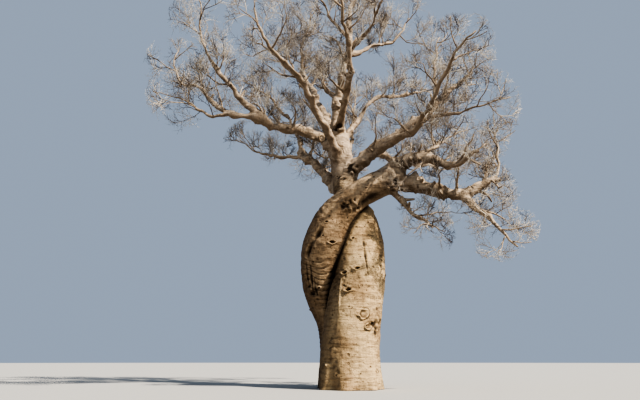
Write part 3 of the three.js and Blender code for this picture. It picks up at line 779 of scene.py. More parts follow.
def press_marks(corners, ways, found):
    """Rise and hollow that all the marks give to each corner of a skin, the hollow being painted shade; a
    painted highlight on a lip is a hollow below 0.
    """
    rise, hollow = np.zeros(len(corners)), np.zeros(len(corners))
    for kind, place, out, width, height, depth in found:
        near = np.flatnonzero(lengths(corners - place) < max(width, height))
        near = near[ways[near] @ out > FACING_OUT]
        up_way = unit(np.array((0, 0, 1.0)) - out * out[2])
        side_way = np.cross(up_way, out)
        offset = corners[near] - place
        across, up = offset @ side_way / (width / 2), offset @ up_way / (height / 2)
        lift, dark = MARK_SHAPES[kind](across, up, cloud(corners[near], RIPPLE_SCALE))
        rise[near] += depth * lift
        hollow[near] = stronger(dark, hollow[near])
    return rise, hollow


# %% Press the cracks into a skin
CRACK_REACH = 2.5
CRACK_WANDER, CRACK_BEND_SCALE = 0.05, 3.5
CRACK_FULL, CRACK_FADE_SCALE, CRACK_FADE_SHIFT = 0.75, 2.2, 3.0


def press_cracks(corners, found):
    """Rise and hollow that cracks give to each corner, with painted shade in the groove; a seam, of depth
    below 0, stands out and gets a painted highlight.
    """
    rise, hollow = np.zeros(len(corners)), np.zeros(len(corners))
    for path, width, depth in found:
        near = np.flatnonzero(lengths(corners - path.mean(0)) < CRACK_REACH)
        gap, _, _, along = limb_distance(corners[near], path, np.zeros(len(path)), False)
        gap = np.abs(gap + CRACK_WANDER * cloud(corners[near], CRACK_BEND_SCALE))
        fade = np.sin(np.pi * np.clip(along / along.max(), 0, 1)) ** 0.5
        fade = fade * (CRACK_FULL + cloud(corners[near], CRACK_FADE_SCALE, CRACK_FADE_SHIFT))
        groove = np.clip(fade, 0, 1) * hump(gap, width)
        rise[near] -= depth * groove
        hollow[near] = stronger(groove * math.copysign(1, depth), hollow[near])
    return rise, hollow


# %% [markdown]
# ## Folds, lumps and grain
#
# A baobab's bark is smooth but never even. The water tissue below it swells and shrinks, which leaves shallow
# lumps, and where a stem bends the bark is pushed into folds across it. Blender's noise gives the lumps, and
# a wave along each limb, bent by the same noise, gives the folds. The finest grain is left to the material.

# %% Relief of the bark: lumps to the metre and height of each kind of lump, and the folds
LUMPS = ((0.55, 0.06), (1.5, 0.024), (4.5, 0.016), (8.0, 0.008))
STOUT, BOUGH_RADIUS = 0.6, 0.38
KNOB_SHARE, KNOB_SCALE, KNOB_SHIFT = 0.34, 2.3, 3.0
FOLD_SPACING, FOLD_DEPTH = 0.3, 0.036
FOLD_WANDER, FOLD_BEND_SCALE, FOLD_BEND_SHIFT = 1.6, 0.8, 5.0
PATCH_CONTRAST, PATCH_LEVEL, PATCH_SCALE, PATCH_SHIFT = 2.2, 0.35, 0.45, 11.0


def bark_relief(corners, wood):
    """Rise of the bark from lumps and folds, and how deep in a fold each corner lies."""
    share = np.clip(wood[:, RADIUS] / STOUT, 0, 1)
    rise = sum(depth * cloud(corners, scale) for scale, depth in LUMPS) * share
    knobs = wood[:, RADIUS] * np.clip(2 - wood[:, RADIUS] / BOUGH_RADIUS, 0, 1)
    rise += KNOB_SHARE * knobs * cloud(corners, KNOB_SCALE, KNOB_SHIFT)
    bent = FOLD_WANDER * cloud(corners, FOLD_BEND_SCALE, FOLD_BEND_SHIFT)
    wave = np.abs(np.sin(np.pi * (wood[:, ALONG] / FOLD_SPACING + bent)))
    patch = np.clip(PATCH_CONTRAST * cloud(corners, PATCH_SCALE, PATCH_SHIFT) + PATCH_LEVEL, 0, 1)
    fold = patch * (1 - wave) ** 3
    return rise - FOLD_DEPTH * fold * share, fold * share


# %% Finer faces near the marks
def refine(mesh, places, reaches):
    """Cuts the faces in four round those places, so that a mark is more than a few corners."""
    corners = corners_of(mesh)
    near = np.zeros(len(corners), bool)
    for place, reach in zip(places, reaches):
        near |= lengths(corners - place) < reach
    shape = bmesh.new()
    shape.from_mesh(mesh)
    edges = [edge for edge in shape.edges if near[edge.verts[0].index] and near[edge.verts[1].index]]
    bmesh.ops.subdivide_edges(shape, edges=edges, cuts=1, use_grid_fill=True)
    shape.to_mesh(mesh)
    shape.free()


# %% [markdown]
# ## Crooked boughs
#
# The frame's boughs are smooth curves, but a real one turns this way and that at every old fork. Hundreds of
# knots set by hand could show it. Three soft noises do it more simply: one for each axis shifts every place
# in the crown, of skin and twigs alike, so that twigs stay on their boughs.

# %% Bend the crown: lumps to the metre and depth of each bend, and where each axis reads its noise
BENDS = ((0.42, 0.32), (1.1, 0.15), (2.6, 0.075))
BEND_SHIFTS = (17.0, 31.0, 53.0)
BEND_FROM, BEND_FULL = 0.4, 2.4


def crooked(points):
    """Where places in the crown lie once its boughs are bent this way and that; none moves at the stems."""
    stems = [limb for limb in limbs.values() if limb.is_stem]
    gaps = [limb_distance(points, *path_of(stem), False)[0] for stem in stems]
    away = np.clip((np.minimum(*gaps) - BEND_FROM) / (BEND_FULL - BEND_FROM), 0, 1)[:, None]
    bend = [sum(depth * cloud(points, scale, shift) for scale, depth in BENDS) for shift in BEND_SHIFTS]
    return points + away * np.column_stack(bend)


# %% [markdown]
# ## From skins to pieces
#
# The tree ends in a level cut at the ground, which a cut by a plane makes exactly, where a boolean could
# leave slivers. A few numbers stored at the corners tell the material where the wood is hollow, folded or
# part of a stem, and so where it gets painted shade or painted light. Then each piece rides on a body of the
# frame, and the solids that it stands for are hidden.

# %% Cut level at the ground
def cut_at_ground(mesh):
    """Takes away what lies below the ground and closes the cut."""
    shape = bmesh.new()
    shape.from_mesh(mesh)
    whole = shape.verts[:] + shape.edges[:] + shape.faces[:]
    cut = bmesh.ops.bisect_plane(shape, geom=whole, plane_co=(0, 0, 0), plane_no=(0, 0, -1), clear_outer=True)
    rim = [edge for edge in cut["geom_cut"] if isinstance(edge, bmesh.types.BMEdge)]
    bmesh.ops.contextual_create(shape, geom=rim)
    shape.to_mesh(mesh)
    shape.free()


# %% The two skins as pieces
def add_number(mesh, name, values):
    """Stores a number for each corner, for the material to read."""
    layer = mesh.attributes.new(name, "FLOAT", "POINT")
    layer.data.foreach_set("value", np.ascontiguousarray(values, np.float32))


def link_piece(name, mesh, nodes, finish):
    """Adds a mesh to the scene as a piece that rides on the root and stands for those nodes."""
    piece = add_object(name, mesh)
    for material in finish:
        mesh.materials.append(material)
    mesh.polygons.foreach_set("use_smooth", np.ones(len(mesh.polygons), bool))
    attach(piece, "root")
    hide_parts(*nodes)


# %% [markdown]
# ## Shader maths as expressions
#
# A material is a tree of small nodes. Written node by node it is long and hard to follow, so one small class
# wraps an output: adding or multiplying two of them adds the Math node for it. Every other node comes from
# one method, which makes a node's settings first and then fills or links its sockets.


# %% A wire between nodes
class Wire:
    """An output of a node in a material's tree."""

    def __init__(self, tree, socket=None):
        self.tree, self.socket = tree, socket

    def node(self, kind, settings=None, sockets=None, output=0):
        """The output of a new node with those settings, and those values or wires in its sockets."""
        made = self.tree.nodes.new(kind)
        for name, value in (settings or {}).items():
            setattr(made, name, value)
        for name, value in (sockets or {}).items():
            if isinstance(value, Wire):
                self.tree.links.new(value.socket, made.inputs[name])
            else:
                made.inputs[name].default_value = value
        return Wire(self.tree, made.outputs[output])

    def maths(self, operation, *values):
        """A Math node on numbers or wires."""
        return self.node("ShaderNodeMath", {"operation": operation}, dict(enumerate(values)))

    def __add__(self, other):
        return self.maths("ADD", self, other)

    def __sub__(self, other):
        return self.maths("SUBTRACT", self, other)

    def __rsub__(self, other):
        return self.maths("SUBTRACT", other, self)

    def __mul__(self, other):
        return self.maths("MULTIPLY", self, other)

    __radd__, __rmul__ = __add__, __mul__

    def clamped(self, low, high):
        """0 where the wire is at low or below, 1 at high or above, and even between."""
        limits = {"From Min": low, "From Max": high}
        return self.node("ShaderNodeMapRange", None, {"Value": self, **limits})

    def mixed(self, low, high):
        """A colour between two, by this wire as the share of the second."""
        return self.node("ShaderNodeMix", {"data_type": "RGBA"}, {0: self, 6: low, 7: high}, 2)

    def part(self, axis):
        """One axis of a place or of a way."""
        return self.node("ShaderNodeSeparateXYZ", None, {0: self}, axis)

    def stretched(self, scale):
        """A place multiplied by a number for each axis."""
        return self.node("ShaderNodeVectorMath", {"operation": "MULTIPLY"}, {0: self, 1: scale})

    def clouds(self, scale, detail=3.0, roughness=0.55):
        """Noise from 0 to 1 where this wire is the place."""
        sockets = {"Vector": self, "Scale": scale, "Detail": detail, "Roughness": roughness}
        return self.node("ShaderNodeTexNoise", None, sockets)


# %% [markdown]
# ## The finish of the bark
#
# The bark is dry, smooth and matt. On the stems it is a warm tan, paler in large patches where the thin outer
# layer has peeled, and it greys towards the boughs. Rain has left faint streaks down it, and pores stand in
# it as dark specks. Painted shade darkens the hollows of marks, cracks and folds, the crease between the
# stems, the undersides and the left side, turned away from the lamp, and painted light pales the tops, lips
# and seams. Painted pictures could show this, but noise at the place in space needs none and has no seams.
# One function makes the finish, so that the two stems differ only in their age and their tones.


# %% A material to start from
DULL_SHINE = 0.25


def new_material(name):
    """A material with a bare Principled shader, and a wire to start from."""
    material = bpy.data.materials.new(name)
    material.use_nodes = True
    shader = material.node_tree.nodes["Principled BSDF"]
    shader.inputs["Specular IOR Level"].default_value = DULL_SHINE
    return material, shader, Wire(material.node_tree)


# %% Noises in the bark: lumps to the metre, detail and roughness
PATCHES, MOTTLE, SPECKS, GRAIN = (0.55, 5.0, 0.62), (2.4, 6.0, 0.72), (6.5, 4.0, 0.65), (26.0, 6.0, 0.65)
STREAK_STRETCH, STREAKS = (5.0, 5.0, 0.6), (1.0, 5.0, 0.65)
WRINKLE_STRETCH, WRINKLES = (1.1, 1.1, 7.5), (1.0, 4.0, 0.6)
DOT_SCALE, DOT_RADIUS, DOT_PATCHES = 2.1, 0.2, 0.9
STEM_COVER, PATCH_LIFT = 6, 5
# How much the patches add to the painted shade on faces turned to the left, away from the lamp
LEFT_SHADE_PATCHES = 0.6
# How dark the deepest painted shade is, as a share of the brown
DARKEST = 0.3

# %% Layers of the bark: where on its mask each starts and is full, and how much shows, below 0 if it goes in
LAYERS = {
    "peeled": (0.42, 0.58, 1),
    # painted light: faces turned up are paler
    "painted light above": (0.15, 0.85, 0.6),
    "grey with height": (6.0, 10.0, 1),
    "mottled": (0.48, 0.66, 0.5),
    "streaked": (0.52, 0.68, 0.5),
    "wrinkled": (0.53, 0.66, 0.5),
    "specked": (0.57, 0.65, 0.6),
    "dotted": (0.02, 0.07, 1),
    "dots in patches": (0.45, 0.55, 1),
    # painted shade on the stems' faces that turn to the left, away from the lamp, heavier in patches
    "painted shade on left": (0.75, 1.25, 0.75),
    # painted highlight on the lower lips of eyes, on scar rings and on seams
    "painted light on rims and seams": (0.05, 0.5, 0.8),
    # painted shade: faces turned down are darker
    "painted shade below": (0.05, 0.75, 0.7),
    # painted shade in the hollows of marks and cracks and in the crease between the stems
    "hollow": (0.1, 0.8, 0.9),
    "pores": (0.58, 0.72, -0.6),
}
# How dark the dots are, and how much painted shade lies in the folds
DOT_SHARE, FOLD_SHARE = 0.6, 0.6

# %% Relief in the material: the height of each noise against the mottle's
GRAIN_HEIGHT, STREAK_HEIGHT, WRINKLE_HEIGHT, DOT_DEPTH = 0.4, 0.6, 1.4, 0.6
BUMP_STRENGTH, BUMP_DISTANCE = 1.0, 0.06
LEAST_ROUGH, MOTTLE_ROUGH = 0.72, 0.2


# %% Bark
def layer(mask, name):
    """How much of a layer shows where its mask says."""
    low, high, share = LAYERS[name]
    shown = mask.clamped(low, high)
    return shown if share == 1 else shown * share


def bark_finish(name, age, tones):
    """Bark that runs from tan to grey with height, with paler patches, streaks and specks, painted light on
    its tops, lips and seams, and painted shade in its hollows, folds and creases, below and on its left side.
    """
    material, shader, wire = new_material(name)
    tan, pale, grey, brown = ((*tone, 1) for tone in tones)
    stored = [{"attribute_name": own} for own in ("hollow", "fold", "stem")]
    hollow, fold, stem = (wire.node("ShaderNodeAttribute", own, output="Fac") for own in stored)
    place = wire.node("ShaderNodeTexCoord", output="Object")
    facing = wire.node("ShaderNodeNewGeometry", output="Normal")
    height, rise, sunny = place.part("Z"), facing.part("Z"), facing.part("X")
    patches, mottle, specks = (place.clouds(*lumps) for lumps in (PATCHES, MOTTLE, SPECKS))
    streaks = place.stretched(STREAK_STRETCH).clouds(*STREAKS)
    wrinkles = place.stretched(WRINKLE_STRETCH).clouds(*WRINKLES)
    dots = place.node("ShaderNodeTexVoronoi", None, {"Vector": place, "Scale": DOT_SCALE}, "Distance")
    dots = layer(DOT_RADIUS - dots, "dotted") * layer(place.clouds(DOT_PATCHES), "dots in patches")
    # the tone of the deepest painted shade
    dark = tuple(DARKEST * part for part in brown[:3]) + (1,)
    colour = layer(patches, "peeled").mixed(tan, pale)
    for shown, tone in (
        # painted light on faces that turn up
        (layer(rise, "painted light above"), pale),
        (layer(height + PATCH_LIFT * patches - STEM_COVER * stem, "grey with height"), grey),
        (layer(mottle, "mottled") * age, brown),
        (layer(streaks, "streaked") * age, brown),
        (layer(wrinkles, "wrinkled"), brown),
        (layer(specks, "specked") * age + dots * DOT_SHARE, brown),
        # painted shade on faces turned away from the lamp, on the stems only
        (layer(LEFT_SHADE_PATCHES * patches - sunny, "painted shade on left") * stem, brown),
        # painted highlight on lips, rings and seams
        (layer(hollow * -1, "painted light on rims and seams"), pale),
        # painted shade on faces that turn down
        (layer(rise * -1, "painted shade below"), brown),
        # painted shade in hollows, cracks, the crease between the stems and folds
        (layer(hollow, "hollow") + fold * FOLD_SHARE, dark),
    ):
        colour = shown.mixed(colour, tone)
    grain = place.clouds(*GRAIN) * GRAIN_HEIGHT + mottle + layer(specks, "pores") + streaks * STREAK_HEIGHT
    grain = grain + wrinkles * WRINKLE_HEIGHT - dots * DOT_DEPTH
    bump = {"Strength": BUMP_STRENGTH, "Distance": BUMP_DISTANCE, "Height": grain}
    link = material.node_tree.links.new
    link(colour.socket, shader.inputs["Base Color"])
    link((LEAST_ROUGH + MOTTLE_ROUGH * mottle).socket, shader.inputs["Roughness"])
    link(wire.node("ShaderNodeBump", None, bump).socket, shader.inputs["Normal"])
    return material


# %% The finish of each stem: its age, and its tan, pale, grey and brown
AGES = {"upright": 0.5, "winding": 0.8}
TONES = {
    "upright": [(0.36, 0.25, 0.14), (0.53, 0.395, 0.23), (0.47, 0.375, 0.28), (0.1, 0.062, 0.036)],
    "winding": [(0.35, 0.235, 0.138), (0.51, 0.37, 0.23), (0.5, 0.4, 0.295), (0.08, 0.047, 0.027)],
}
finishes = {side: bark_finish(f"{side}_bark", AGES[side], TONES[side]) for side in STEMS}
print(f"{len(finishes)} finishes of {len(LAYERS)} layers")

# %% [markdown]
# ## Dressing the skins
#
# Here it all comes together. Each skin gets finer faces where its marks lie, settles on the wood once more,
# and is lifted and pressed by lumps, folds, marks and cracks. A material could displace the surface too, but
# corners that have moved also travel to other programs.

# %% Dress both skins
REFINED_FROM, REFINED_SHARE = 0.2, 0.8
WIDE_CRACK, CRACK_SHARE = 0.2, 5
# How wide the painted shade in the crease between the stems spreads, and how little of it still lets a
# painted highlight show
CREASE_WIDTH, CREASED_FROM = 0.22, 0.2


def fine_places(side):
    """Where a skin needs finer faces, and how far round: at its large marks and its narrow cracks."""
    large = [mark for mark in marks[side] if max(mark[3:5]) > REFINED_FROM]
    found = [(place, REFINED_SHARE * max(width, height)) for _, place, _, width, height, _ in large]
    for path, width, _ in cracks[side]:
        found += [(place, CRACK_SHARE * width) for place in path if width < WIDE_CRACK]
    return found


for side, skin in skins.items():
    mesh = mesh_of(f"{side}_wood", skin["corners"], skin["quads"])
    refine(mesh, *zip(*fine_places(side)))
    corners, wood = settled(corners_of(mesh), skin["melted"])
    rise, fold = bark_relief(corners, wood)
    mark_rise, mark_hollow = press_marks(corners, wood[:, OUT], marks[side])
    crack_rise, crack_hollow = press_cracks(corners, cracks[side])
    set_corners(mesh, crooked(corners + (rise + mark_rise + crack_rise)[:, None] * wood[:, OUT]))
    # The crease where the two stems meet gets painted shade, stored in the hollow number with the marks'
    # painted shade and highlights
    other = limbs["winding_stem" if side == "upright" else "upright_stem"]
    crease = hump(np.maximum(limb_distance(corners, *path_of(other), True)[0], 0), CREASE_WIDTH)
    hollow = stronger(crack_hollow, mark_hollow)
    pale = (hollow < 0) & (crease < CREASED_FROM)
    add_number(mesh, "hollow", np.where(pale, hollow, np.maximum(hollow, crease)))
    add_number(mesh, "fold", fold)
    add_number(mesh, "stem", np.clip((wood[:, RADIUS] - BOUGH_RADIUS) / BOUGH_RADIUS, 0, 1))
    cut_at_ground(mesh)
    link_piece(f"{side}_wood", mesh, skin["names"], [finishes[side]])
    print(f"{side}_wood: {sum(len(face.vertices) - 2 for face in mesh.polygons)} triangles")

# %% [markdown]
# ## Twigs by a seeded rule
#
# The frame's masses of twigs follow a rule: a stem grows on from the bough's tip into its ball of space, and
# each twig carries a few children in a spiral, the last of which goes on from its end. A twig that would
# leave its space or touch a limb is tried shorter, and then skipped. The same rule runs here, with the same
# draws, so the first three orders fall where the solids are, and then it goes on to finer orders. Every draw
# is worked out from the twig's own key, so nothing depends on the order in which twigs are made.

# %% Orders of branching: length as a share of the reach, spread in degrees, thickness beside the parent's
Order = namedtuple("Order", "pieces children length spread thickness")
TWIG_ORDERS = [
    Order(3, 4, 1.15, 58, 0.95),
    Order(2, 3, 0.85, 48, 0.6),
    Order(2, 5, 0.6, 44, 0.55),
    Order(2, 6, 0.42, 50, 0.62),
    Order(2, 5, 0.27, 50, 0.7),
    Order(1, 0, 0.18, 0, 0.75),
]
FRAME_ORDERS = 3
TWIG_WOBBLE, TWIG_TAPER = 0.26, 0.45
TWIG_LIFT, FINE_LIFT = 0.1, 0.16
FIRST_CHILD_AT, LEADER_SPREAD = 0.28, 0.4
SPREAD_RANGE, LENGTH_RANGE = (0.75, 1.25), (0.8, 1.2)
LENGTH_TRIES = (1, 0.72, 0.5)
GOLDEN_ANGLE = math.radians(137.5)
TWIG_CLEARANCE, SPACE_MARGIN, GAP = 0.06, 0.04, 0.0004

# %% Draws from a key: odd multipliers and shifts that mix its bits well
DRAW_MIX, CHILD_MIX = 0x9E3779B1, 0x27D4EB2F
FIRST_MIX, SECOND_MIX, KEY_MIX = np.uint32(0x85EBCA6B), np.uint32(0xC2B2AE35), np.uint32(0x165667B1)
FIRST_SHIFT, SECOND_SHIFT = np.uint32(13), np.uint32(16)
ROUND_DRAW, SPREAD_DRAW, LENGTH_DRAW, TONE_DRAW = 20, 21, 22, 31


def chance(keys, draw):
    """A repeatable number from 0 to 1 for one draw of each key."""
    mixed = (keys ^ np.uint32((draw + 1) * DRAW_MIX & WORD)) * FIRST_MIX
    mixed ^= mixed >> FIRST_SHIFT
    mixed = mixed * SECOND_MIX
    mixed ^= mixed >> SECOND_SHIFT
    return mixed / 2.0**32


def child_keys(keys, index):
    """The key of one child of each twig."""
    return (keys ^ np.uint32((index + 1) * CHILD_MIX & WORD)) * KEY_MIX


def between(limits, shares):
    """Numbers at those shares of the way from one limit to the other."""
    return limits[0] + (limits[1] - limits[0]) * shares


# %% Room for a twig
SOURCE_STEM_RING, SOURCE_BOUGH_RING = 0.62, 0.75

balls = np.array([bough.ball for bough in twigged])
bark_pieces = []
for limb in limbs.values():
    centres, _, radii = limb.rings(SOURCE_STEM_RING if limb.is_stem else SOURCE_BOUGH_RING)
    bark_pieces.append(np.column_stack([centres[:-1], np.diff(centres, axis=0), radii[:-1], np.diff(radii)]))
bark_pieces = np.vstack(bark_pieces)


def clear_of_bark(points):
    """How far points lie from the nearest limb's bark."""
    low, run, thick, change = np.split(bark_pieces, [3, 6, 7], axis=1)
    gaps = []
    for first in range(0, len(points), CHUNK):
        offset = points[first : first + CHUNK, None] - low
        share = np.clip((offset * run).sum(2) / (run**2).sum(1), 0, 1)
        away = lengths(offset - share[..., None] * run)
        gaps.append((away - thick[:, 0] - share * change[:, 0]).min(1))
    return np.concatenate(gaps) if gaps else np.zeros(0)


def inside_space(points, space, margin):
    """Which points lie in their mass's ball, nearer to it than to any other mass."""
    centre, reach = balls[space, :3], balls[space, 3]
    own = ((points - centre) ** 2).sum(1) - reach**2
    inside = own < (reach - margin) ** 2 - reach**2
    for other in range(len(balls)):
        theirs = ((points - balls[other, :3]) ** 2).sum(1) - balls[other, 3] ** 2
        apart = np.maximum(lengths(centre - balls[other, :3]), TINY)
        inside &= ((theirs - own) / (2 * apart) > margin) | (space == other)
    return inside


def fits(paths, radius, space, depth):
    """Which paths stay in their space, in the frame's box and clear of every limb."""
    good = np.ones(len(paths), bool)
    margin = SPACE_MARGIN + radius if depth < FRAME_ORDERS else 0 * radius
    for step in range(1, paths.shape[1]):
        point = paths[:, step]
        massed = space >= 0
        good[massed] &= inside_space(point[massed], space[massed], margin[massed])
        good &= ((point > np.array(cad_low)) & (point < np.array(cad_high))).all(1)
        some = np.flatnonzero(good)
        places = [point[some], (point[some] + paths[some, step - 1]) / 2][: 2 if depth < FRAME_ORDERS else 1]
        for place in places:
            good[some] &= clear_of_bark(place) > TWIG_CLEARANCE + radius[some]
    return good


# %% A twig's path and its children
TWIG_COLUMNS = ("key", "start", "heading", "length", "radius", "reach", "space", "spray", "limb")


def twig_paths(twigs, depth, share):
    """Bent paths of the twigs at a share of their length; the finer ones turn up to the light."""
    pieces = TWIG_ORDERS[depth].pieces
    lift = TWIG_LIFT if depth < FRAME_ORDERS else FINE_LIFT
    heading, step = twigs["heading"], (twigs["length"] * share / pieces)[:, None]
    paths, headings = [twigs["start"]], []
    for piece in range(pieces):
        turn = np.column_stack([2 * chance(twigs["key"], 3 * piece + axis) - 1 for axis in range(3)])
        heading = unit(heading + TWIG_WOBBLE * turn + (0, 0, lift))
        headings.append(heading)
        paths.append(paths[-1] + heading * step)
    return np.stack(paths, axis=1), np.stack(headings, axis=1)


def children_of(twigs, depth):
    """All the children of one order: they leave in a spiral, and the last goes on from the end."""
    own, finer = TWIG_ORDERS[depth], TWIG_ORDERS[depth + 1]
    found = []
    for index in range(own.children):
        key = child_keys(twigs["key"], index)
        share = FIRST_CHILD_AT + (1 - FIRST_CHILD_AT) * index / (own.children - 1)
        piece = min(int(share * own.pieces), own.pieces - 1)
        along = twigs["headings"][:, piece]
        low, high = twigs["paths"][:, piece], twigs["paths"][:, piece + 1]
        side = square_to(along)
        turn = (GOLDEN_ANGLE * index + 2 * np.pi * chance(twigs["key"], ROUND_DRAW))[:, None]
        opening = between(SPREAD_RANGE, chance(key, SPREAD_DRAW))
        if index == own.children - 1:
            opening = np.full(len(key), LEADER_SPREAD)
        wide = (math.radians(own.spread) * opening)[:, None]
        ring = side * np.cos(turn) + np.cross(along, side) * np.sin(turn)
        found.append(twigs | {
            "key": key,
            "start": low + (high - low) * (share * own.pieces - piece),
            "heading": along * np.cos(wide) + ring * np.sin(wide),
            "length": twigs["reach"] * finer.length * between(LENGTH_RANGE, chance(key, LENGTH_DRAW)),
            "radius": twigs["radius"] * (1 + (TWIG_TAPER - 1) * share) * finer.thickness,
            "spray": key if depth < FRAME_ORDERS else twigs["spray"],
        })
    return {name: np.concatenate([part[name] for part in found]) for name in TWIG_COLUMNS}


def grow(twigs, depth):
    """The twigs that find room, with their paths, at the longest of the lengths tried."""
    pieces = TWIG_ORDERS[depth].pieces
    count = len(twigs["key"])
    paths, headings = np.zeros((count, pieces + 1, 3)), np.zeros((count, pieces, 3))
    waiting = np.arange(count)
    for share in LENGTH_TRIES:
        some = {name: values[waiting] for name, values in twigs.items()}
        tried, ways = twig_paths(some, depth, share)
        good = fits(tried, some["radius"], some["space"], depth) | (depth == 0)
        paths[waiting[good]], headings[waiting[good]] = tried[good], ways[good]
        waiting = waiting[~good]
    kept = np.setdiff1d(np.arange(count), waiting)
    grown = {name: values[kept] for name, values in twigs.items()}
    return grown | {"paths": paths[kept], "headings": headings[kept]}


# %% The stems of the masses
def first_twigs(depth, key, start, heading, radius, reach, space, limb):
    """Twigs that start at one order of branching, each a spray of its own, as columns."""
    length = reach * TWIG_ORDERS[depth].length
    return dict(zip(TWIG_COLUMNS, (key, start, heading, length, radius, reach, space, key, limb)))


def mass_stems():
    """One stem for each mass, a hair clear of its bough's tip."""
    rows = []
    for bough, ball in zip(twigged, balls):
        centres, headings, radii = limbs[bough.name].rings(SOURCE_BOUGH_RING)
        start = centres[-1] + headings[-1] * GAP
        rows.append((start, unit(unit(ball[:3] - start) + headings[-1]), radii[-1]))
    start, heading, radius = (np.array(column) for column in zip(*rows))
    number = np.arange(len(twigged))
    key = child_keys((number + 1).astype(np.uint32), 0)
    return first_twigs(0, key, start, heading, radius * TWIG_ORDERS[0].thickness, balls[:, 3], number, number)


# %% [markdown]
# ## Shoots along the boughs
#
# The photograph shows shoots all along the outer boughs, most of them turned up to the light. They follow the
# same rule from its third order on, so they branch as the masses do. They belong to no ball of space, but
# they keep clear of the bark and inside the frame's box.

# %% Shoots and side limbs
SIDE_DEPTH, SHOOT_DEPTH = 1, 2
SIDE_START = 0.9
SHOOT_SPACING, SHOOT_FROM, SHOOT_START = 0.6, 0.4, 0.6
SHOOT_REACH = (0.9, 1.9)
SHOOT_LEAN, SHOOT_LIFT, LIFT_RANGE = (0.1, 0.9), 0.55, (0, 1.6)
SHOOT_RADIUS, THICKEST_SHOOT, SHOOT_THICKNESS = 0.3, 0.04, (0.7, 1.0)
SHOOT_SEED = 21
NO_SPACE = -1


def bough_shoots():
    """Shoots at even steps along the outer part of each bough, turned at random round it."""
    draw = np.random.default_rng(SHOOT_SEED)
    rows = []
    for number, bough in enumerate(BOUGHS):
        centres, headings, radii = limbs[bough.name].rings(SHOOT_SPACING)
        for step in range(round(SHOOT_FROM * len(centres)), len(centres)):
            out = way_out(headings[step], draw)
            lean = headings[step] * draw.uniform(*SHOOT_LEAN) + (0, 0, SHOOT_LIFT * draw.uniform(*LIFT_RANGE))
            reach = draw.uniform(*SHOOT_REACH)
            start = centres[step] + out * radii[step] * SHOOT_START
            radius = min(SHOOT_RADIUS * radii[step], THICKEST_SHOOT) * draw.uniform(*SHOOT_THICKNESS)
            rows.append((start, unit(out + lean), radius, reach, number, draw.integers(1, WORD)))
    start, heading, radius, reach, number, key = (np.array(column) for column in zip(*rows))
    space = np.full(len(rows), NO_SPACE)
    return first_twigs(SHOOT_DEPTH, key.astype(np.uint32), start, heading, radius, reach, space, number)


def limbs_from_knuckles():
    """The side limbs that go on from those knuckles which aren't broken."""
    rows = [row for row in side_limbs if row.reach > 0]
    number, root, way, knuckle, radius, reach, key = (np.array(column) for column in zip(*rows))
    start, space = root + way * knuckle[:, None] * SIDE_START, np.full(len(rows), NO_SPACE)
    return first_twigs(SIDE_DEPTH, key.astype(np.uint32), start, way, radius, reach, space, number)


# %% Grow every order
orders = []
pending = mass_stems()
more = {SIDE_DEPTH: limbs_from_knuckles, SHOOT_DEPTH: bough_shoots}
for depth in range(len(TWIG_ORDERS)):
    if depth in more:
        added = more[depth]()
        pending = {name: np.concatenate([pending[name], added[name]]) for name in pending}
    orders.append(grow(pending, depth))
    print(f"order {depth}: {len(orders[depth]['key'])} of {len(pending['key'])} twigs have room")
    if depth + 1 < len(TWIG_ORDERS):
        pending = children_of(orders[depth], depth)

# %% [markdown]
# ## Twigs as meshes
#
# Stout twigs get enough sides and bends to look like small boughs. The finest are three-sided and end in a
# point. Each twig could be an object of its own, but so many would be slow and would not travel well. So on
# each side of the crown the stout ones are one mesh and the fine ones another. A twig's tone is dealt out by
# spray, so that whole sprays are paler or darker than their neighbours.

# %% Sides of the crown
TWIG_SIDES = (10, 8, 5, 4, 3, 3)
TWIG_STEPS = (4, 3, 2, 1, 1, 1)
THINNEST = (0.045, 0.032, 0.021, 0.0145, 0.0105, 0.0078)
POINTED_FROM = 4
STOUT_ORDERS = 2
CROWN_SIDES = ("west", "middle", "east", "back_west", "back_east")
BACK_FROM, BACK_EAST_FROM, WEST_TO, EAST_FROM = 2.6, -1.0, -2.8, 3.0


def crown_side(place):
    """The side of the crown that a place belongs to."""
    if place[1] > BACK_FROM:
        return "back_east" if place[0] > BACK_EAST_FROM else "back_west"
    if place[0] < WEST_TO:
        return "west"
    return "east" if place[0] > EAST_FROM else "middle"


def smooth_paths(paths, steps):
    """The same paths with more points, on a smooth curve through the old ones."""
    if steps == 1:
        return paths
    ends = (2 * paths[:, :1] - paths[:, 1:2], 2 * paths[:, -1:] - paths[:, -2:-1])
    whole = np.concatenate([ends[0], paths, ends[1]], axis=1)
    points = []
    for piece in range(paths.shape[1] - 1):
        before, low, high, after = (whole[:, piece + step] for step in range(4))
        for part in np.arange(steps) / steps:
            points.append(cubic(low, high, (high - before) / 2, (after - low) / 2, part))
    return np.stack(points + [paths[:, -1]], axis=1)


def twig_tubes(twigs, depth, chosen):
    """Corners and triangles of the chosen twigs of one order."""
    paths = smooth_paths(twigs["paths"][chosen], TWIG_STEPS[depth])
    paths = crooked(paths.reshape(-1, 3)).reshape(paths.shape)
    radius = np.maximum(twigs["radius"][chosen], THINNEST[depth])
    shares = np.linspace(0, 1, paths.shape[1])
    radii = radius[:, None] * (1 + (TWIG_TAPER - 1) * shares)
    if depth >= POINTED_FROM:
        return tubes(paths, radii[:, :-1], TWIG_SIDES[depth])
    tip = paths[:, -1] + unit(paths[:, -1] - paths[:, -2]) * radii[:, -1:]
    return tubes(np.concatenate([paths, tip[:, None]], axis=1), radii, TWIG_SIDES[depth])


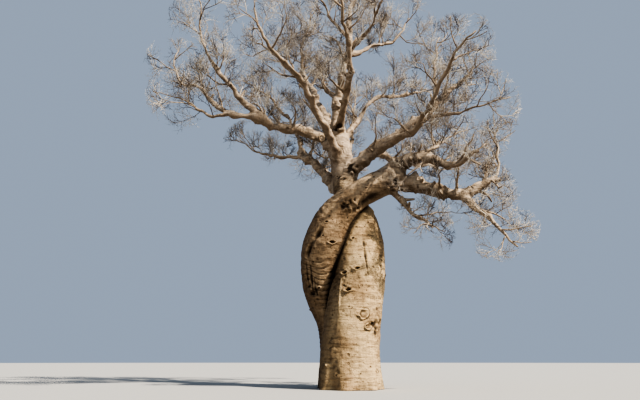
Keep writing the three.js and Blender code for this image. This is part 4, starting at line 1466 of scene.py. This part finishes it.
# %% Twig finishes
TWIG_TONES = {
    "pale": (0.6, 0.54, 0.46, 1), "tan": (0.34, 0.275, 0.21, 1),
    "grey": (0.36, 0.32, 0.28, 1), "dark": (0.1, 0.075, 0.058, 1),
}
TWIG_ROUGHNESS = 0.85
TWIG_GRAIN = (30.0, 3.0, 0.6)
TWIG_BUMP = {"Strength": 0.4, "Distance": 0.005}


def twig_finish(name, tone):
    """Twig bark of one tone, with a fine grain that turns the light."""
    material, shader, wire = new_material(name)
    shader.inputs["Base Color"].default_value = tone
    shader.inputs["Roughness"].default_value = TWIG_ROUGHNESS
    grain = wire.node("ShaderNodeTexCoord", output="Object").clouds(*TWIG_GRAIN)
    bump = wire.node("ShaderNodeBump", None, TWIG_BUMP | {"Height": grain})
    material.node_tree.links.new(bump.socket, shader.inputs["Normal"])
    return material


twig_finishes = [twig_finish(f"twig_{name}", tone) for name, tone in TWIG_TONES.items()]
print(f"{len(twig_finishes)} tones of twig")

# %% Every twig of the crown
CROWN_ORDERS = {"stout": range(STOUT_ORDERS), "fine": range(STOUT_ORDERS, len(TWIG_ORDERS))}

mass_side = np.array([crown_side(bough.ball) for bough in twigged])
limb_side = np.array([crown_side(bough.bends[-1]) for bough in BOUGHS])


def on_side(twigs, side):
    """Which twigs are on a side of the crown, by their mass or else by their bough."""
    massless = twigs["space"] == NO_SPACE
    own = np.where(massless, limb_side[twigs["limb"]], mass_side[twigs["space"]])
    return np.flatnonzero(own == side)


def crown_arrays(side, depths):
    """Corners, triangles and each triangle's tone, for the twigs of some orders on one side of the crown."""
    parts, tones = [], []
    for depth in depths:
        chosen = on_side(orders[depth], side)
        if len(chosen):
            parts.append(twig_tubes(orders[depth], depth, chosen))
            tone = chance(orders[depth]["spray"][chosen], TONE_DRAW) * len(TWIG_TONES)
            tones.append(np.repeat(tone.astype(np.int32), len(parts[-1][1]) // len(chosen)))
    return *joined(parts), np.concatenate(tones)


for side in CROWN_SIDES:
    nodes = [bough.name.replace("_bough", "_twigs") for bough, own in zip(twigged, mass_side) if own == side]
    for kind, depths in CROWN_ORDERS.items():
        name = f"{side}_{kind}_twigs"
        corners, triangles, tones = crown_arrays(side, depths)
        mesh = mesh_of(name, corners, triangles)
        finish = [finishes["upright"]] if kind == "stout" else twig_finishes
        link_piece(name, mesh, nodes, finish)
        if kind == "fine":
            mesh.polygons.foreach_set("material_index", tones)
        print(f"{name}: {len(triangles)} triangles")
print(f"{sum(len(twigs['key']) for twigs in orders)} twigs")

# %% [markdown]
# ## Floor and light
#
# The tree stands on a plain pale floor, under a plain pale sky. One strong lamp stands high on the right, a
# little in front, as the sun does in the photograph, and the sky fills the shadows. A picture of a real sky
# could light it too, but one lamp and one even tone are easier to set.

# %% Floor
FLOOR_REACH, FLOOR_SIDES = 400, 64
FLOOR_TONE, FLOOR_ROUGHNESS = (0.4, 0.39, 0.37, 1), 0.95

floor_shape = bmesh.new()
bmesh.ops.create_circle(floor_shape, cap_ends=True, radius=FLOOR_REACH, segments=FLOOR_SIDES)
floor_mesh = bpy.data.meshes.new("floor")
floor_shape.to_mesh(floor_mesh)
floor_shape.free()
floor_finish, floor_shader, _ = new_material("floor_finish")
floor_shader.inputs["Base Color"].default_value = FLOOR_TONE
floor_shader.inputs["Roughness"].default_value = FLOOR_ROUGHNESS
floor_mesh.materials.append(floor_finish)
add_object("floor", floor_mesh)
print(f"a floor {2 * FLOOR_REACH} m across")

# %% Light
SUN_FROM = Vector((0.78, -0.54, 0.84))
SUN_STRENGTH = 7.2
SUN_SIZE = math.radians(1.5)
SUN_TONE = (1.0, 0.92, 0.8)
SKY_TONE, SKY_STRENGTH = (0.62, 0.75, 0.95, 1), 0.42

sun_light = bpy.data.lights.new("key", "SUN")
sun_light.energy = SUN_STRENGTH
sun_light.angle = SUN_SIZE
sun_light.color = SUN_TONE
sun = add_object("key", sun_light)
sun.rotation_euler = SUN_FROM.to_track_quat("Z", "Y").to_euler()

world = bpy.data.worlds.new("sky")
world.use_nodes = True
background = world.node_tree.nodes["Background"]
background.inputs["Color"].default_value = SKY_TONE
background.inputs["Strength"].default_value = SKY_STRENGTH
bpy.context.scene.world = world
bpy.context.scene.view_settings.view_transform = "AgX"
bpy.context.scene.view_settings.look = "AgX - Very High Contrast"
print(f"a sun of {SUN_STRENGTH} and a sky of {SKY_STRENGTH}")
